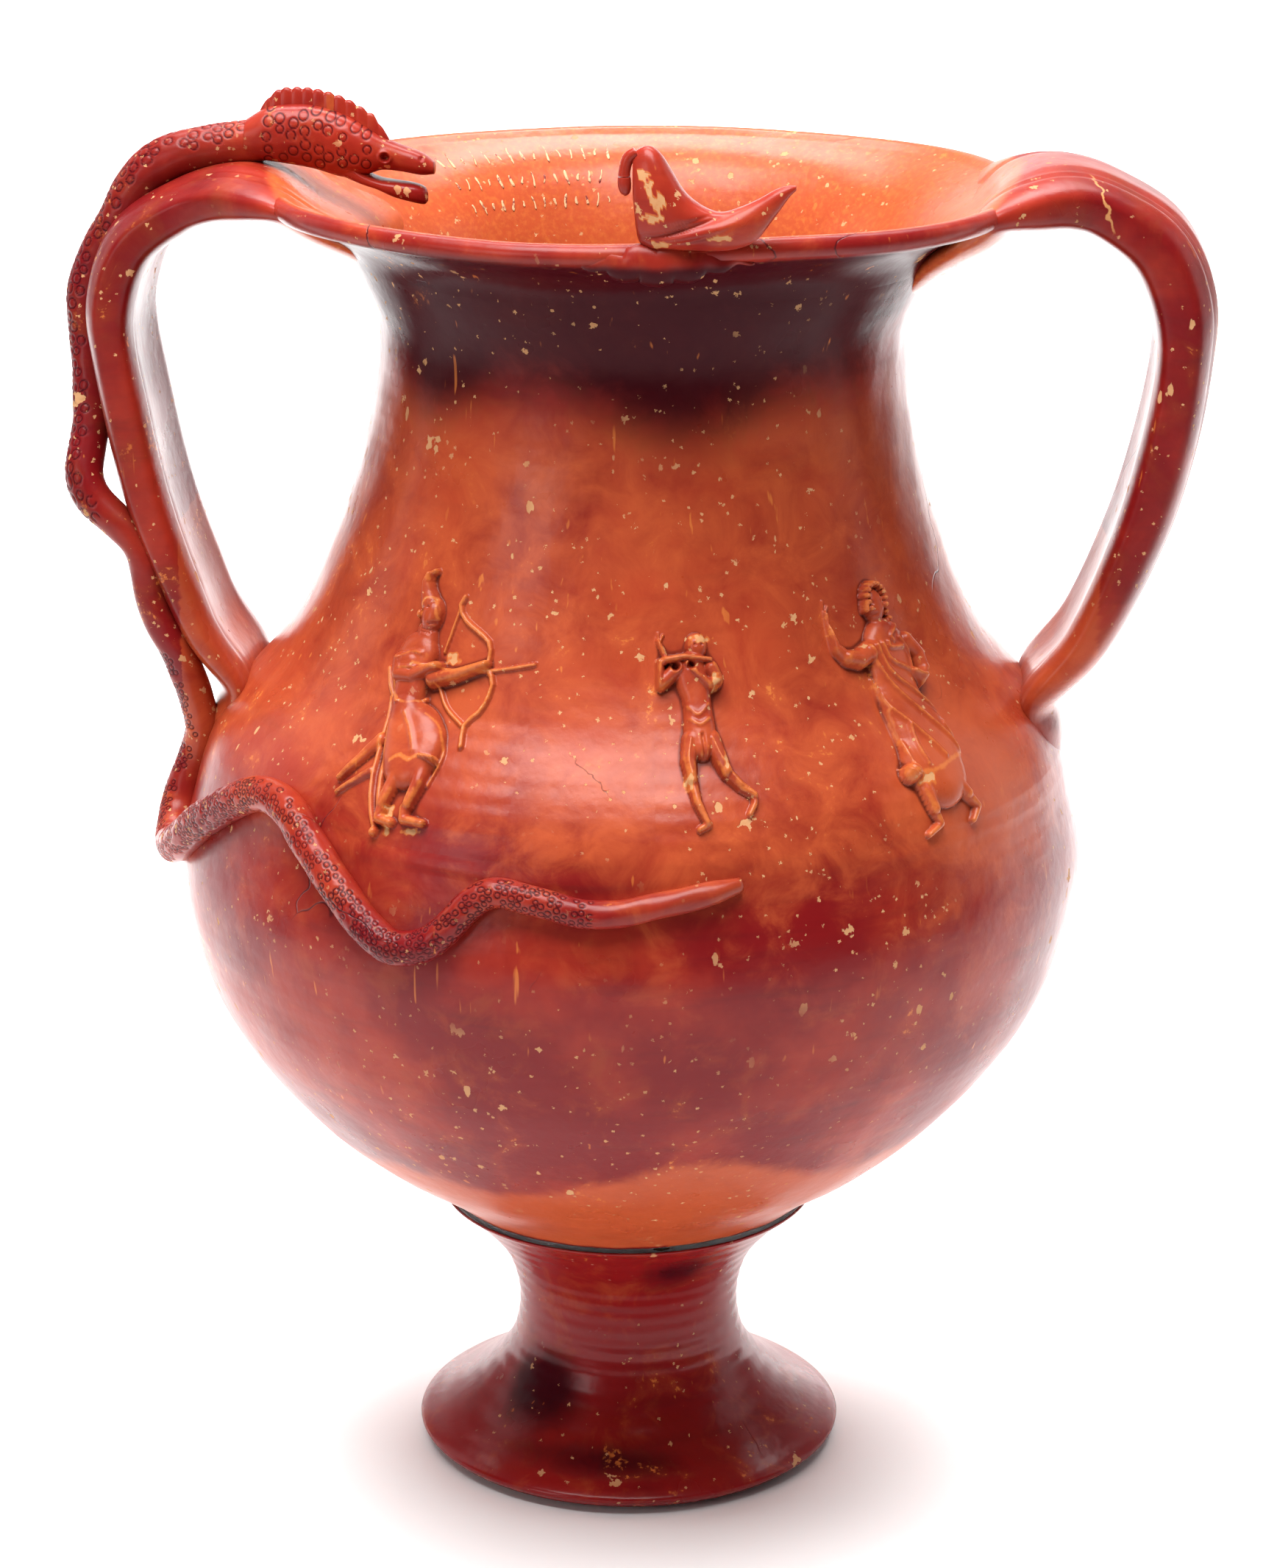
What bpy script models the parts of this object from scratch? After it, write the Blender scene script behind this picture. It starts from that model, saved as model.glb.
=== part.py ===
"""Red slipped krater: a hollow bowl and neck with two strap handles, a serpent that climbs over the left handle,
a bird perched on the rim and low clay figures on the front, standing on a pedestal foot. Metres, +Z up, the figured
front faces -Y and the serpent's handle is at -X. The origin is on the foot's axis, on the table.
"""

import math

import bmesh
import bpy
import numpy as np
from mathutils import Matrix, Vector

# Turned body: radius and height of its outer face
RIM_Z = 0.375
RIM_RADIUS = 0.0985
NECK_Z = 0.335
NECK_RADIUS = 0.0728
BELLY_Z = 0.185
BELLY_RADIUS = 0.1283
SEAT_Z = 0.080
SEAT_RADIUS = 0.0535
WALL = 0.0058
LIP = 0.0062
BOWL_DIP = 0.010
AXIS_LEAN = 0.005
RIM_PULL = 0.0065

# Pedestal foot
FOOT_RADIUS = 0.0624
FOOT_EDGE = 0.0086
FOOT_LIP = 0.0006
STEM_Z = 0.042
STEM_RADIUS = 0.0322
FOOT_WALL = 0.0095
FOOT_HOLLOW = 0.050
CLEARANCE = 0.0003

# Strap handles
STRAP_REACH = 0.1482
STRAP_TOP_Z = 0.3727
STRAP_ROOT_Z = 0.233
STRAP_WIDTH = 0.050
PLAIN_THICKNESS = 0.0158
SNAKE_THICKNESS = 0.0134
SNAKE_STRAP_SAG = 0.0042
SNAKE_STRAP_DROP = 0.0026
RIB_DEPTH = 0.0016
CHANNEL_DEPTH = 0.0020
FAN_WIDTH = 0.090
PLAIN_FLARE = 0.0032
SNAKE_FLARE = -0.0020

# Serpent
SERPENT_RADIUS = 0.0054
SERPENT_TAIL = 0.0031
HEAD_LENGTH = 0.0458
HEAD_HEIGHT = 0.0151
HEAD_WIDTH = 0.0146
HEAD_BACK = 0.0055
CREST_HEIGHT = 0.0046
CREST_THICKNESS = 0.0024

# Figures on the wall, each from its lowest toe up
ARCHER_HEIGHT = 0.060
NUDE_HEIGHT = 0.049
DRAPED_HEIGHT = 0.058
LIMB_RADIUS = 0.0022
CORD_RADIUS = 0.0011
RELIEF_SUNK = 0.0004

# Bird on the rim
BIRD_HEIGHT = 0.0275
BIRD_LENGTH = 0.041
BIRD_LEFT = 0.006

TURN_STEPS = 40
STRAP_RINGS = 22
SERPENT_RINGS = 56
NECK_TO_BELLY = ((0.167, 0.047), (0.367, 0.195), (0.567, 0.443), (0.733, 0.805), (0.867, 0.928))
BELLY_TO_SEAT = ((0.190, 0.040), (0.381, 0.128), (0.571, 0.299), (0.733, 0.501), (0.848, 0.699), (0.933, 0.882))
NECK_TO_RIM = ((0.375, 0.175), (0.62, 0.292))
MOUTH_FLARE = ((0.41, 0.19), (0.725, 0.455), (0.905, 0.83))
STEM_TO_SEAT = ((0.223, 0.037), (0.501, 0.207), (0.780, 0.585), (0.919, 0.830))
STEM_TO_EDGE = ((0.13, 0.01), (0.42, 0.10), (0.66, 0.30), (0.87, 0.58), (1.0, 0.82))
EDGE_ROUND = ((0.77, 0.0017), (0.53, 0.0), (0.23, 0.0026), (0.05, 0.0078))


def start_empty():
    """Clear the scene and make the collections for the part and for the clay that is joined to it."""
    for obj in list(bpy.data.objects):
        bpy.data.objects.remove(obj, do_unlink=True)
    part = bpy.data.collections.new("krater")
    joined = bpy.data.collections.new("joined_clay")
    bpy.context.scene.collection.children.link(part)
    bpy.context.scene.collection.children.link(joined)
    joined.hide_render = True
    return part, joined


def clay(name, colour, roughness):
    material = bpy.data.materials.new(name)
    material.use_nodes = True
    shader = material.node_tree.nodes["Principled BSDF"]
    shader.inputs["Base Color"].default_value = (*colour, 1.0)
    shader.inputs["Roughness"].default_value = roughness
    shader.inputs["Metallic"].default_value = 0.0
    return material


def through(knots, at):
    """Cubic through the (place, value) knots that never overshoots them, read at the places given."""
    places, values = np.array(sorted(knots)).T
    rise = np.diff(values) / np.diff(places)
    slope = np.concatenate([rise[:1], (rise[:-1] + rise[1:]) / 2, rise[-1:]])
    flat = np.concatenate([[False], rise[:-1] * rise[1:] <= 0, [False]])
    slope[flat] = 0
    slope[1:-1] = np.sign(slope[1:-1]) * np.minimum(
        np.abs(slope[1:-1]), 3 * np.minimum(np.abs(rise[:-1]), np.abs(rise[1:]))
    )
    at = np.asarray(at, float)
    cell = np.clip(np.searchsorted(places, at) - 1, 0, len(places) - 2)
    width = places[cell + 1] - places[cell]
    t = np.clip((at - places[cell]) / width, 0, 1)
    return (
        values[cell] * (2 * t**3 - 3 * t**2 + 1)
        + values[cell + 1] * (3 * t**2 - 2 * t**3)
        + width * (slope[cell] * (t**3 - 2 * t**2 + t) + slope[cell + 1] * (t**3 - t**2))
    )


def path_through(points, count):
    """Catmull-Rom curve through rows of numbers, read at evenly spaced steps of its own length."""
    points = np.asarray(points, float)
    ends = np.vstack([2 * points[0] - points[1], points, 2 * points[-1] - points[-2]])
    t = np.linspace(0, len(points) - 1 - 1e-9, 24 * len(points))
    cell = t.astype(int)
    f = (t - cell)[:, None]
    a, b, c, d = (ends[cell + k] for k in range(4))
    dense = 0.5 * (2 * b + (c - a) * f + (2 * a - 5 * b + 4 * c - d) * f**2 + (3 * b - a - 3 * c + d) * f**3)
    run = np.concatenate([[0], np.cumsum(np.linalg.norm(np.diff(dense[:, :3], axis=0), axis=1))])
    steps = np.linspace(0, run[-1], count)
    return np.column_stack([np.interp(steps, run, column) for column in dense.T])


def ease(t):
    t = np.clip(t, 0, 1)
    return t * t * (3 - 2 * t)


def between(low, high, shares):
    """Knots between two (height, radius) pairs, each a share of the way in height and in radius."""
    return [(low[0] + u * (high[0] - low[0]), low[1] + v * (high[1] - low[1])) for u, v in shares]


def body_knots():
    neck = (NECK_Z, NECK_RADIUS)
    belly = (BELLY_Z, BELLY_RADIUS)
    seat = (SEAT_Z, SEAT_RADIUS)
    rim = (RIM_Z, RIM_RADIUS)
    return (
        [seat, belly, neck]
        + between(belly, seat, BELLY_TO_SEAT)
        + between(neck, belly, NECK_TO_BELLY)
        + between(neck, rim, NECK_TO_RIM)
    )


def wall_radius(z):
    """Outer radius of the upright body at a height between the seat and the underside of the rim."""
    return through(body_knots(), z)


def rim_pull(z):
    """How far the wall is drawn out towards a handle, growing from the neck to the rim."""
    return RIM_PULL * ease((z - NECK_Z) / (RIM_Z - NECK_Z)) ** 2


def drawn_out(points):
    """Pull the turned wall out towards both handles."""
    x, y, z = np.array(points, float).T
    off_handle = np.abs(np.arctan2(y, np.abs(x) + 1e-12))
    radius = np.hypot(x, y) + 1e-12
    grow = 1 + rim_pull(z) / radius * ease((1.2 - off_handle) / 0.7)
    return np.column_stack([x * grow, y * grow, z])


def lean(points):
    """The neck stands a little to the right of the foot."""
    x, y, z = np.array(points, float).T
    low = (SEAT_Z + BELLY_Z) / 2
    share = np.clip((z - low) / (RIM_Z - low), 0, 1)
    leaned = AXIS_LEAN * (0.7 * share + 0.3 * ease(share))
    return np.column_stack([x + leaned, y, z])


def mesh_object(name, verts, faces, collection, material=None, outwards=True):
    mesh = bpy.data.meshes.new(name)
    mesh.from_pydata([tuple(map(float, v)) for v in verts], [], faces)
    if outwards:
        work = bmesh.new()
        work.from_mesh(mesh)
        bmesh.ops.recalc_face_normals(work, faces=work.faces)
        work.to_mesh(mesh)
        work.free()
    obj = bpy.data.objects.new(name, mesh)
    collection.objects.link(obj)
    if material:
        mesh.materials.append(material)
    else:
        obj.hide_render = True
        obj.display_type = "WIRE"
    return obj


def loft(name, rings, collection, leaned=True):
    """A closed solid through rings of points, flat at both ends."""
    rings = np.asarray(rings, float)
    rows, sides, _ = rings.shape
    verts = rings.reshape(-1, 3)
    if leaned:
        verts = lean(verts)
    faces = [
        (r * sides + s, r * sides + (s + 1) % sides, (r + 1) * sides + (s + 1) % sides, (r + 1) * sides + s)
        for r in range(rows - 1)
        for s in range(sides)
    ]
    faces.append(tuple(range(sides)))
    faces.append(tuple(range((rows - 1) * sides, rows * sides)))
    return mesh_object(name, verts, faces, collection)


def turned(name, outline, collection):
    """A profile of (radius, height) points, from the axis up the inside and down the outside, carried round by Screw."""
    mesh = bpy.data.meshes.new(name)
    verts = [(r, 0.0, z) for r, z in outline]
    mesh.from_pydata(verts, [(i, i + 1) for i in range(len(verts) - 1)], [])
    obj = bpy.data.objects.new(name, mesh)
    collection.objects.link(obj)
    screw = obj.modifiers.new("turned", "SCREW")
    screw.axis = "Z"
    screw.steps = TURN_STEPS
    screw.render_steps = TURN_STEPS
    screw.use_merge_vertices = True
    screw.merge_threshold = 0.00001
    return obj


def made_mesh(obj):
    """Replace an object by its evaluated mesh, so that its points can be moved."""
    bpy.context.view_layer.update()
    graph = bpy.context.evaluated_depsgraph_get()
    mesh = bpy.data.meshes.new_from_object(obj.evaluated_get(graph))
    obj.modifiers.clear()
    obj.data = mesh
    return obj


def body_rows():
    """(height, radius) rows of the outer side, from under the rim down to the seat."""
    flare_z = NECK_Z + NECK_TO_RIM[-1][0] * (RIM_Z - NECK_Z)
    z = np.concatenate([np.linspace(flare_z, NECK_Z, 4), np.linspace(NECK_Z, SEAT_Z, 16)[1:]])
    return np.column_stack([z, wall_radius(z)])


def bowl_outline():
    """(radius, height) points of the hollow bowl and neck: the inner side, the rolled lip, the outer side."""
    side = body_rows()[:, ::-1]
    turn = np.radians(np.linspace(18, 90, 4))
    dip = np.column_stack([SEAT_RADIUS * np.cos(turn), SEAT_Z - BOWL_DIP * np.sin(turn)])
    outer = np.vstack([side, dip])
    along = np.gradient(outer, axis=0)
    along /= np.linalg.norm(along, axis=1)[:, None]
    inward = np.column_stack([along[:, 1], -along[:, 0]])
    inner = (outer + WALL * inward)[:3:-3]
    inner[:, 0] = np.maximum(inner[:, 0], 0)
    inner[0] = (0, SEAT_Z - BOWL_DIP + WALL)
    throat = (NECK_Z, NECK_RADIUS - WALL)
    mouth = [throat] + between(throat, (RIM_Z, RIM_RADIUS - LIP), MOUTH_FLARE)
    inner = np.vstack([inner, [(r, z) for z, r in mouth]])
    centre = np.array([RIM_RADIUS - LIP / 2, RIM_Z - LIP / 2])
    roll = np.radians(np.linspace(125, -75, 6))
    lip = centre + LIP / 2 * np.column_stack([np.cos(roll), np.sin(roll)])
    outer[-1, 0] = 0
    return np.vstack([inner, lip, outer])


def foot_outline():
    """(radius, height) points of the foot: the dish that takes the bowl, the stem, the edge and the hollow below."""
    turn = np.radians(np.linspace(90, 8, 5))
    gap = 2.5 * CLEARANCE
    dish = np.column_stack(
        [(SEAT_RADIUS + gap) * np.cos(turn), SEAT_Z - (BOWL_DIP + gap) * np.sin(turn)]
    )
    dish[0, 0] = 0
    lip_top = SEAT_Z - 2 * gap
    lip = (lip_top - FOOT_LIP, SEAT_RADIUS + FOOT_LIP)
    stem = (STEM_Z, STEM_RADIUS)
    upper = [lip] + between(stem, lip, STEM_TO_SEAT[::-1]) + [stem]
    lower = between(stem, (FOOT_EDGE, FOOT_RADIUS), STEM_TO_EDGE)
    outer = [(r, z) for z, r in upper + lower]
    edge = [(FOOT_RADIUS - inset, FOOT_EDGE * share) for share, inset in EDGE_ROUND]
    ring = FOOT_RADIUS - 1.3 * FOOT_EDGE
    under = [
        (ring, 0.0),
        (ring - FOOT_WALL, 0.0),
        (STEM_RADIUS - FOOT_WALL, STEM_Z * 0.76),
        (STEM_RADIUS - 1.4 * FOOT_WALL, FOOT_HOLLOW),
        (0.0, FOOT_HOLLOW * 1.08),
    ]
    return np.vstack([dish, [(SEAT_RADIUS + gap, lip_top)], outer, edge, under])


def strap_route(count, flare):
    """Rows of (x, z, half width, thickness share, wrap) down a strap's middle, neck to root, for the +X side."""
    span = STRAP_TOP_Z - STRAP_ROOT_Z
    rim_x = RIM_RADIUS + RIM_PULL - 0.0035
    bow = STRAP_REACH - rim_x
    fan = FAN_WIDTH / 2
    half = STRAP_WIDTH / 2

    def spot(across, down):
        return rim_x + across * bow, STRAP_ROOT_Z + down * span

    def on_neck(below_rim, out):
        z = RIM_Z - below_rim
        return wall_radius(z) + rim_pull(z) + out, z

    on_wall = [(wall_radius(z), z) for z in (STRAP_ROOT_Z - 0.001, STRAP_ROOT_Z - 0.010, STRAP_ROOT_Z - 0.019)]
    rows = [
        (*on_neck(0.0290, -0.0032), fan * 0.42, 0.16, 1.0),
        (*on_neck(0.0175, flare - 0.0016), fan * 0.72, 0.62, 1.0),
        (rim_x - 0.0072 + 0.5 * flare, STRAP_TOP_Z - 0.0068, fan * 0.93, 0.72, 1.0),
        (rim_x + 0.0010, STRAP_TOP_Z - 0.0004, fan * 0.95, 0.78, 0.9),
        (*spot(0.157, 1.006), (fan + half) / 2 + 0.001, 0.98, 0.5),
        (*spot(0.33, 1.006), half + 0.0035, 1.0, 0.2),
        (*spot(0.522, 0.985), half, 0.98, 0.0),
        (*spot(0.818, 0.915), half, 1.10, 0.0),
        (*spot(0.977, 0.800), half, 1.12, 0.0),
        (*spot(1.00, 0.688), half, 1.02, 0.0),
        (*spot(0.943, 0.536), half, 1.02, 0.0),
        (*spot(0.794, 0.337), half, 0.98, 0.0),
        (*spot(0.545, 0.129), half, 0.88, 0.35),
        (on_wall[0][0] + 0.0015, on_wall[0][1] + 0.001, half * 0.98, 0.68, 1.0),
        (on_wall[1][0] - 0.0005, on_wall[1][1], half * 0.78, 0.40, 1.0),
        (on_wall[2][0] - 0.0016, on_wall[2][1], half * 0.34, 0.14, 1.0),
    ]
    route = np.array(rows)
    padded = np.column_stack([route[:, 0], route[:, 1], np.zeros(len(route)), route[:, 2:]])
    return path_through(padded, count)[:, [0, 1, 3, 4, 5]]


def strap_section(half, thickness, soft, ribs, sides=14):
    """Closed outline (across, out) of a strap, boxy where soft is 0: ribs on the outer face, a channel inside."""
    turn = np.linspace(0, 2 * math.pi, sides, endpoint=False) + math.pi / sides
    across = half * np.sign(np.cos(turn)) * np.abs(np.cos(turn)) ** 0.6
    out = thickness / 2 * np.sign(np.sin(turn)) * np.abs(np.sin(turn)) ** (0.35 + 0.55 * soft)
    place = across / half
    groove = sum(np.exp(-(((place - c) / 0.16) ** 2)) for c in ribs)
    channel = np.clip(1 - (place / 0.62) ** 2, 0, 1)
    outer = out > 0
    out = out * np.where(outer, 1.12 - 0.42 * np.abs(place) ** 3, 1)
    out = out - np.where(outer, RIB_DEPTH * groove * thickness / PLAIN_THICKNESS, 0)
    out = out + np.where(outer, 0, CHANNEL_DEPTH * channel * thickness / PLAIN_THICKNESS)
    return across, out


def strap_frame(route):
    """Unit outward normals (x, z) of a strap's middle line."""
    along = np.gradient(route[:, :2], axis=0)
    along /= np.linalg.norm(along, axis=1)[:, None]
    return np.column_stack([-along[:, 1], along[:, 0]])


def snake_strap_route(count):
    """The serpent's strap has a lower arch and sags a little in towards the body below its bend."""
    route = strap_route(count, SNAKE_FLARE)
    share = np.linspace(0, 1, count)
    route[:, 0] -= SNAKE_STRAP_SAG * ease((share - 0.33) / 0.24) * ease((1 - share) / 0.24)
    route[:, 1] -= SNAKE_STRAP_DROP * ease((share - 0.14) / 0.12) * ease((0.62 - share) / 0.22)
    return route


def add_strap(name, side, route, thickness, ribs, collection):
    """One strap handle: ribbed sections carried from the rim over the arch and down to the shoulder."""
    normal = strap_frame(route)
    rings = []
    for (x, z, half, share, wrap), (nx, nz) in zip(route, normal):
        across, out = strap_section(half, thickness * share, wrap, ribs)
        round_body = np.sqrt(np.maximum(x**2 - across**2, 0)) - x
        px = x + nx * out + wrap * round_body
        pz = z + nz * out
        rings.append(np.column_stack([side * px, across, pz]))
    return loft(name, rings, collection)


def on_wall(angle_deg, z, lift):
    """Point and outward direction on the upright body; the angle runs from the front towards +X."""
    angle = math.radians(angle_deg)
    out = np.array([math.sin(angle), -math.cos(angle), 0.0])
    return np.concatenate([out * (float(wall_radius(z)) + lift) + (0, 0, z), out])


def on_facet(angle_deg, z, lift):
    """Like on_wall, but sunk to the flats between the turned body's edges, so that low relief stands on them."""
    turn = 2 * math.pi / TURN_STEPS
    off_edge = math.radians(angle_deg) % turn - turn / 2
    place = on_wall(angle_deg, z, 0.0)
    radius = float(np.interp(z, *body_rows()[::-1].T)) * math.cos(turn / 2) / math.cos(off_edge)
    place[:3] = place[3:] * (radius - RELIEF_SUNK + lift) + (0, 0, z)
    return place


def on_strap(share, across, lift):
    """Point and outward direction on the outer face of the serpent's strap, at a share of its length from the rim."""
    route = snake_strap_route(60)
    normal = strap_frame(route)
    steps = np.linspace(0, 1, len(route))
    x, z, nx, nz = (np.interp(share, steps, column) for column in (*route[:, :2].T, *normal.T))
    rise = SNAKE_THICKNESS / 2 + lift
    return np.array([-(x + nx * rise), across, z + nz * rise, -nx, 0.0, nz])


def serpent_route():
    """Rows of (point, outward direction, radius) from the broken tail tip on the front wall up to the neck."""
    thick, thin = SERPENT_RADIUS, SERPENT_TAIL
    sunk = 0.55
    wall = [
        (17.6, 0.2124, 0.6 * thin),
        (15.0, 0.2113, thin),
        (8.5, 0.2085, thin * 1.1),
        (1.0, 0.2058, thin * 1.2),
        (-5.3, 0.2077, thin * 1.25),
        (-12.1, 0.2100, thin * 1.3),
        (-15.2, 0.2062, thin * 1.35),
        (-18.2, 0.1980, thin * 1.4),
        (-21.6, 0.1933, thick * 0.86),
        (-25.6, 0.1935, thick * 0.86),
        (-31.5, 0.2017, thick * 0.88),
        (-38.7, 0.2130, thick * 0.90),
        (-43.6, 0.2193, thick * 0.90),
        (-48.2, 0.2212, thick * 0.90),
        (-53.5, 0.2188, thick * 0.92),
        (-60.5, 0.2105, thick * 0.95),
        (-67.0, 0.2015, thick),
        (-73.0, 0.1930, thick),
        (-78.0, 0.1900, thick),
        (-82.5, 0.1960, thick),
        (-84.0, 0.2070, thick * 0.95),
        (-83.5, 0.2200, thick * 0.92),
    ]
    rows = [np.append(on_wall(a, z, sunk * r), r) for a, z, r in wall]
    edge = -STRAP_WIDTH / 2
    strap = [
        (0.844, edge * 0.72, thick * 0.92, 0.25),
        (0.783, edge * 0.76, thick * 0.86, 0.38),
        (0.707, edge * 0.76, thick * 0.84, -0.10),
        (0.632, edge * 0.66, thick * 1.00, 1.75),
        (0.566, edge * 0.36, thick * 0.98, 1.00),
        (0.490, edge * 0.12, thick * 0.98, 0.62),
        (0.420, 0.0, thick * 1.10, 0.50),
        (0.349, edge * 0.04, thick * 1.08, 0.24),
        (0.278, 0.0, thick * 1.20, 0.95),
    ]
    rows += [np.append(on_strap(s, a, lift * r), r) for s, a, r, lift in strap]
    return rows


def head_rows(shares):
    """Rows of (x, top z, underside z, half width) from shares of the head's own length, height and width."""
    x = -(RIM_RADIUS + HEAD_BACK)
    z = STRAP_TOP_Z + SNAKE_THICKNESS / 2
    return [
        (x + along * HEAD_LENGTH, z + top * HEAD_HEIGHT, z + low * HEAD_HEIGHT, half * HEAD_WIDTH)
        for along, top, low, half in shares
    ]


def head_route(count):
    """The serpent's neck and skull, reaching in over the rim."""
    shares = [
        (-0.13, 0.72, 0.02, 0.42),
        (0.00, 0.94, -0.03, 0.47),
        (0.15, 1.00, -0.09, 0.49),
        (0.29, 0.98, -0.17, 0.50),
        (0.46, 0.83, -0.31, 0.48),
        (0.60, 0.59, -0.25, 0.43),
        (0.69, 0.42, -0.17, 0.37),
        (0.81, 0.27, -0.20, 0.31),
        (0.92, 0.15, -0.26, 0.28),
        (1.00, -0.02, -0.24, 0.19),
    ]
    return path_through(head_rows(shares), count)


def tube_rings(rows, sides=8, squash=1.0):
    """Rings round a path of (point, out, radius) rows; squash is width over height."""
    points, outs, radii = rows[:, :3], rows[:, 3:6], rows[:, 6]
    along = np.gradient(points, axis=0)
    along /= np.linalg.norm(along, axis=1)[:, None]
    across = np.cross(along, outs)
    across /= np.linalg.norm(across, axis=1)[:, None]
    up = np.cross(across, along)
    turn = np.linspace(0, 2 * math.pi, sides, endpoint=False)
    return (
        points[:, None]
        + (radii * squash)[:, None, None] * across[:, None] * np.cos(turn)[None, :, None]
        + radii[:, None, None] * up[:, None] * np.sin(turn)[None, :, None]
    )


def skull_rings(rows, sides=10):
    """Upright rounded sections through (x, top z, low z, half width) rows."""
    turn = np.linspace(0, 2 * math.pi, sides, endpoint=False) + math.pi / sides
    wide = np.sign(np.cos(turn)) * np.abs(np.cos(turn)) ** 0.75
    tall = np.sign(np.sin(turn)) * np.abs(np.sin(turn)) ** 0.75
    return [
        np.column_stack([np.full(sides, x), half * wide, (top + low) / 2 + (top - low) / 2 * tall])
        for x, top, low, half in rows
    ]


def add_serpent(collection):
    x, top, low, half = head_route(9)[2]
    inside = np.array([x, 0.0, (top + low) / 2, 0.0, 0.0, 1.0, 0.8 * half])
    rows = path_through(np.array(serpent_route() + [inside]), SERPENT_RINGS)
    loft("serpent_body", tube_rings(rows, sides=7), collection)
    loft("serpent_head", skull_rings(head_route(11)), collection)
    add_jaw(collection)
    add_crest(collection)


def add_jaw(collection):
    """The lower jaw hangs open under the snout."""
    shares = [
        (0.48, 0.10, -0.30, 0.36),
        (0.62, -0.27, -0.49, 0.34),
        (0.75, -0.38, -0.60, 0.30),
        (0.88, -0.45, -0.71, 0.25),
        (0.95, -0.55, -0.73, 0.15),
    ]
    loft("serpent_jaw", skull_rings(head_rows(shares), sides=8), collection)


def add_crest(collection):
    """A thin fin over the skull with a notched edge."""
    skull = head_route(40)
    notches = 6
    count = 2 * notches + 1
    share = np.linspace(0.0, 1.0, count)
    x = -(RIM_RADIUS + HEAD_BACK) + (-0.05 + 0.78 * share) * HEAD_LENGTH
    top = np.interp(x, skull[:, 0], skull[:, 1])
    swell = np.clip(share / 0.16, 0, 1) * np.clip((1 - share) / 0.12, 0, 1)
    height = CREST_HEIGHT * swell * (1 - 0.16 * (np.arange(count) % 2))
    half = CREST_THICKNESS / 2
    root = 0.35 * HEAD_HEIGHT
    rings = [
        [(px, -half, pz - root), (px, half, pz - root), (px, half * 0.6, pz + h), (px, -half * 0.6, pz + h)]
        for px, pz, h in zip(x, top, height)
    ]
    loft("serpent_crest", rings, collection)


def limb(name, spots, collection, sides=5):
    """A tapering roll of clay through (angle, height, lift, radius) spots on the wall, with a small cap at each end."""
    sides = 4 if max(spot[3] for spot in spots) < 0.7 * LIMB_RADIUS else sides
    rows = np.array([np.append(on_facet(a, z, lift), r) for a, z, lift, r in spots])
    along = np.diff(rows[:, :3], axis=0)
    along /= np.linalg.norm(along, axis=1)[:, None]
    first, last = rows[0].copy(), rows[-1].copy()
    first[:3] -= along[0] * 0.6 * first[6]
    last[:3] += along[-1] * 0.6 * last[6]
    first[6] *= 0.5
    last[6] *= 0.5
    return loft(name, tube_rings(np.vstack([first, rows, last]), sides), collection)


def lump(name, spot, size, collection, turn_deg=0.0):
    """An ellipsoid pressed on the wall: size is (across, up, out) half axes."""
    angle, z, lift = spot
    place = on_facet(angle, z, lift)
    out = Vector(place[3:])
    up = Vector((0, 0, 1))
    across = up.cross(out) * -1
    frame = Matrix((across, up, out)).transposed().to_4x4()
    turn = Matrix.Rotation(math.radians(turn_deg), 4, "Z")
    scale = Matrix.Diagonal((*size, 1.0))
    work = bmesh.new()
    bmesh.ops.create_uvsphere(work, u_segments=8, v_segments=5, radius=1.0)
    bmesh.ops.transform(work, matrix=Matrix.Translation(place[:3]) @ frame @ turn @ scale, verts=work.verts)
    verts = lean([v.co for v in work.verts])
    faces = [tuple(v.index for v in face.verts) for face in work.faces]
    work.free()
    return mesh_object(name, verts, faces, collection)


def slab(name, spots, depth, collection, sides=8):
    """A low body through (angle, height, half width) spots on the wall."""
    rows = np.array([np.append(on_facet(a, z, 0.0), depth) for a, z, _ in spots])
    wide = np.array([half for _, _, half in spots]) / depth
    rows[[0, -1], 6] *= 0.5
    return loft(name, tube_rings(rows, sides, wide * np.where(rows[:, 6] < depth, 2, 1)), collection)


class Figure:
    """A figure on the wall: spots are (across, up) in shares of its height, from its toes' line."""

    def __init__(self, name, angle_deg, toes_z, height, collection):
        self.name = name
        self.angle = angle_deg
        self.toes_z = toes_z
        self.height = height
        self.collection = collection
        self.count = 0

    def spot(self, across, up):
        z = self.toes_z + up * self.height
        turn = math.degrees(across * self.height / float(wall_radius(z)))
        return self.angle + turn, z

    def label(self, kind):
        self.count += 1
        return f"{self.name}_{kind}_{self.count:02d}"

    def roll(self, kind, spots, radius=LIMB_RADIUS, taper=1.0, lift=0.35):
        radii = np.linspace(radius, radius * taper, len(spots))
        rows = [(*self.spot(a, u), lift * r, r) for (a, u), r in zip(spots, radii)]
        limb(self.label(kind), rows, self.collection)

    def torso(self, kind, spots, depth):
        rows = [(*self.spot(a, u), half * self.height) for a, u, half in spots]
        slab(self.label(kind), rows, depth, self.collection)

    def cord(self, spots, radius=CORD_RADIUS):
        self.roll("cord", spots, radius, lift=0.25)

    def mass(self, kind, across, up, size, turn_deg=0.0, lift=0.0003):
        lump(self.label(kind), (*self.spot(across, up), lift), size, self.collection, turn_deg)


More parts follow.
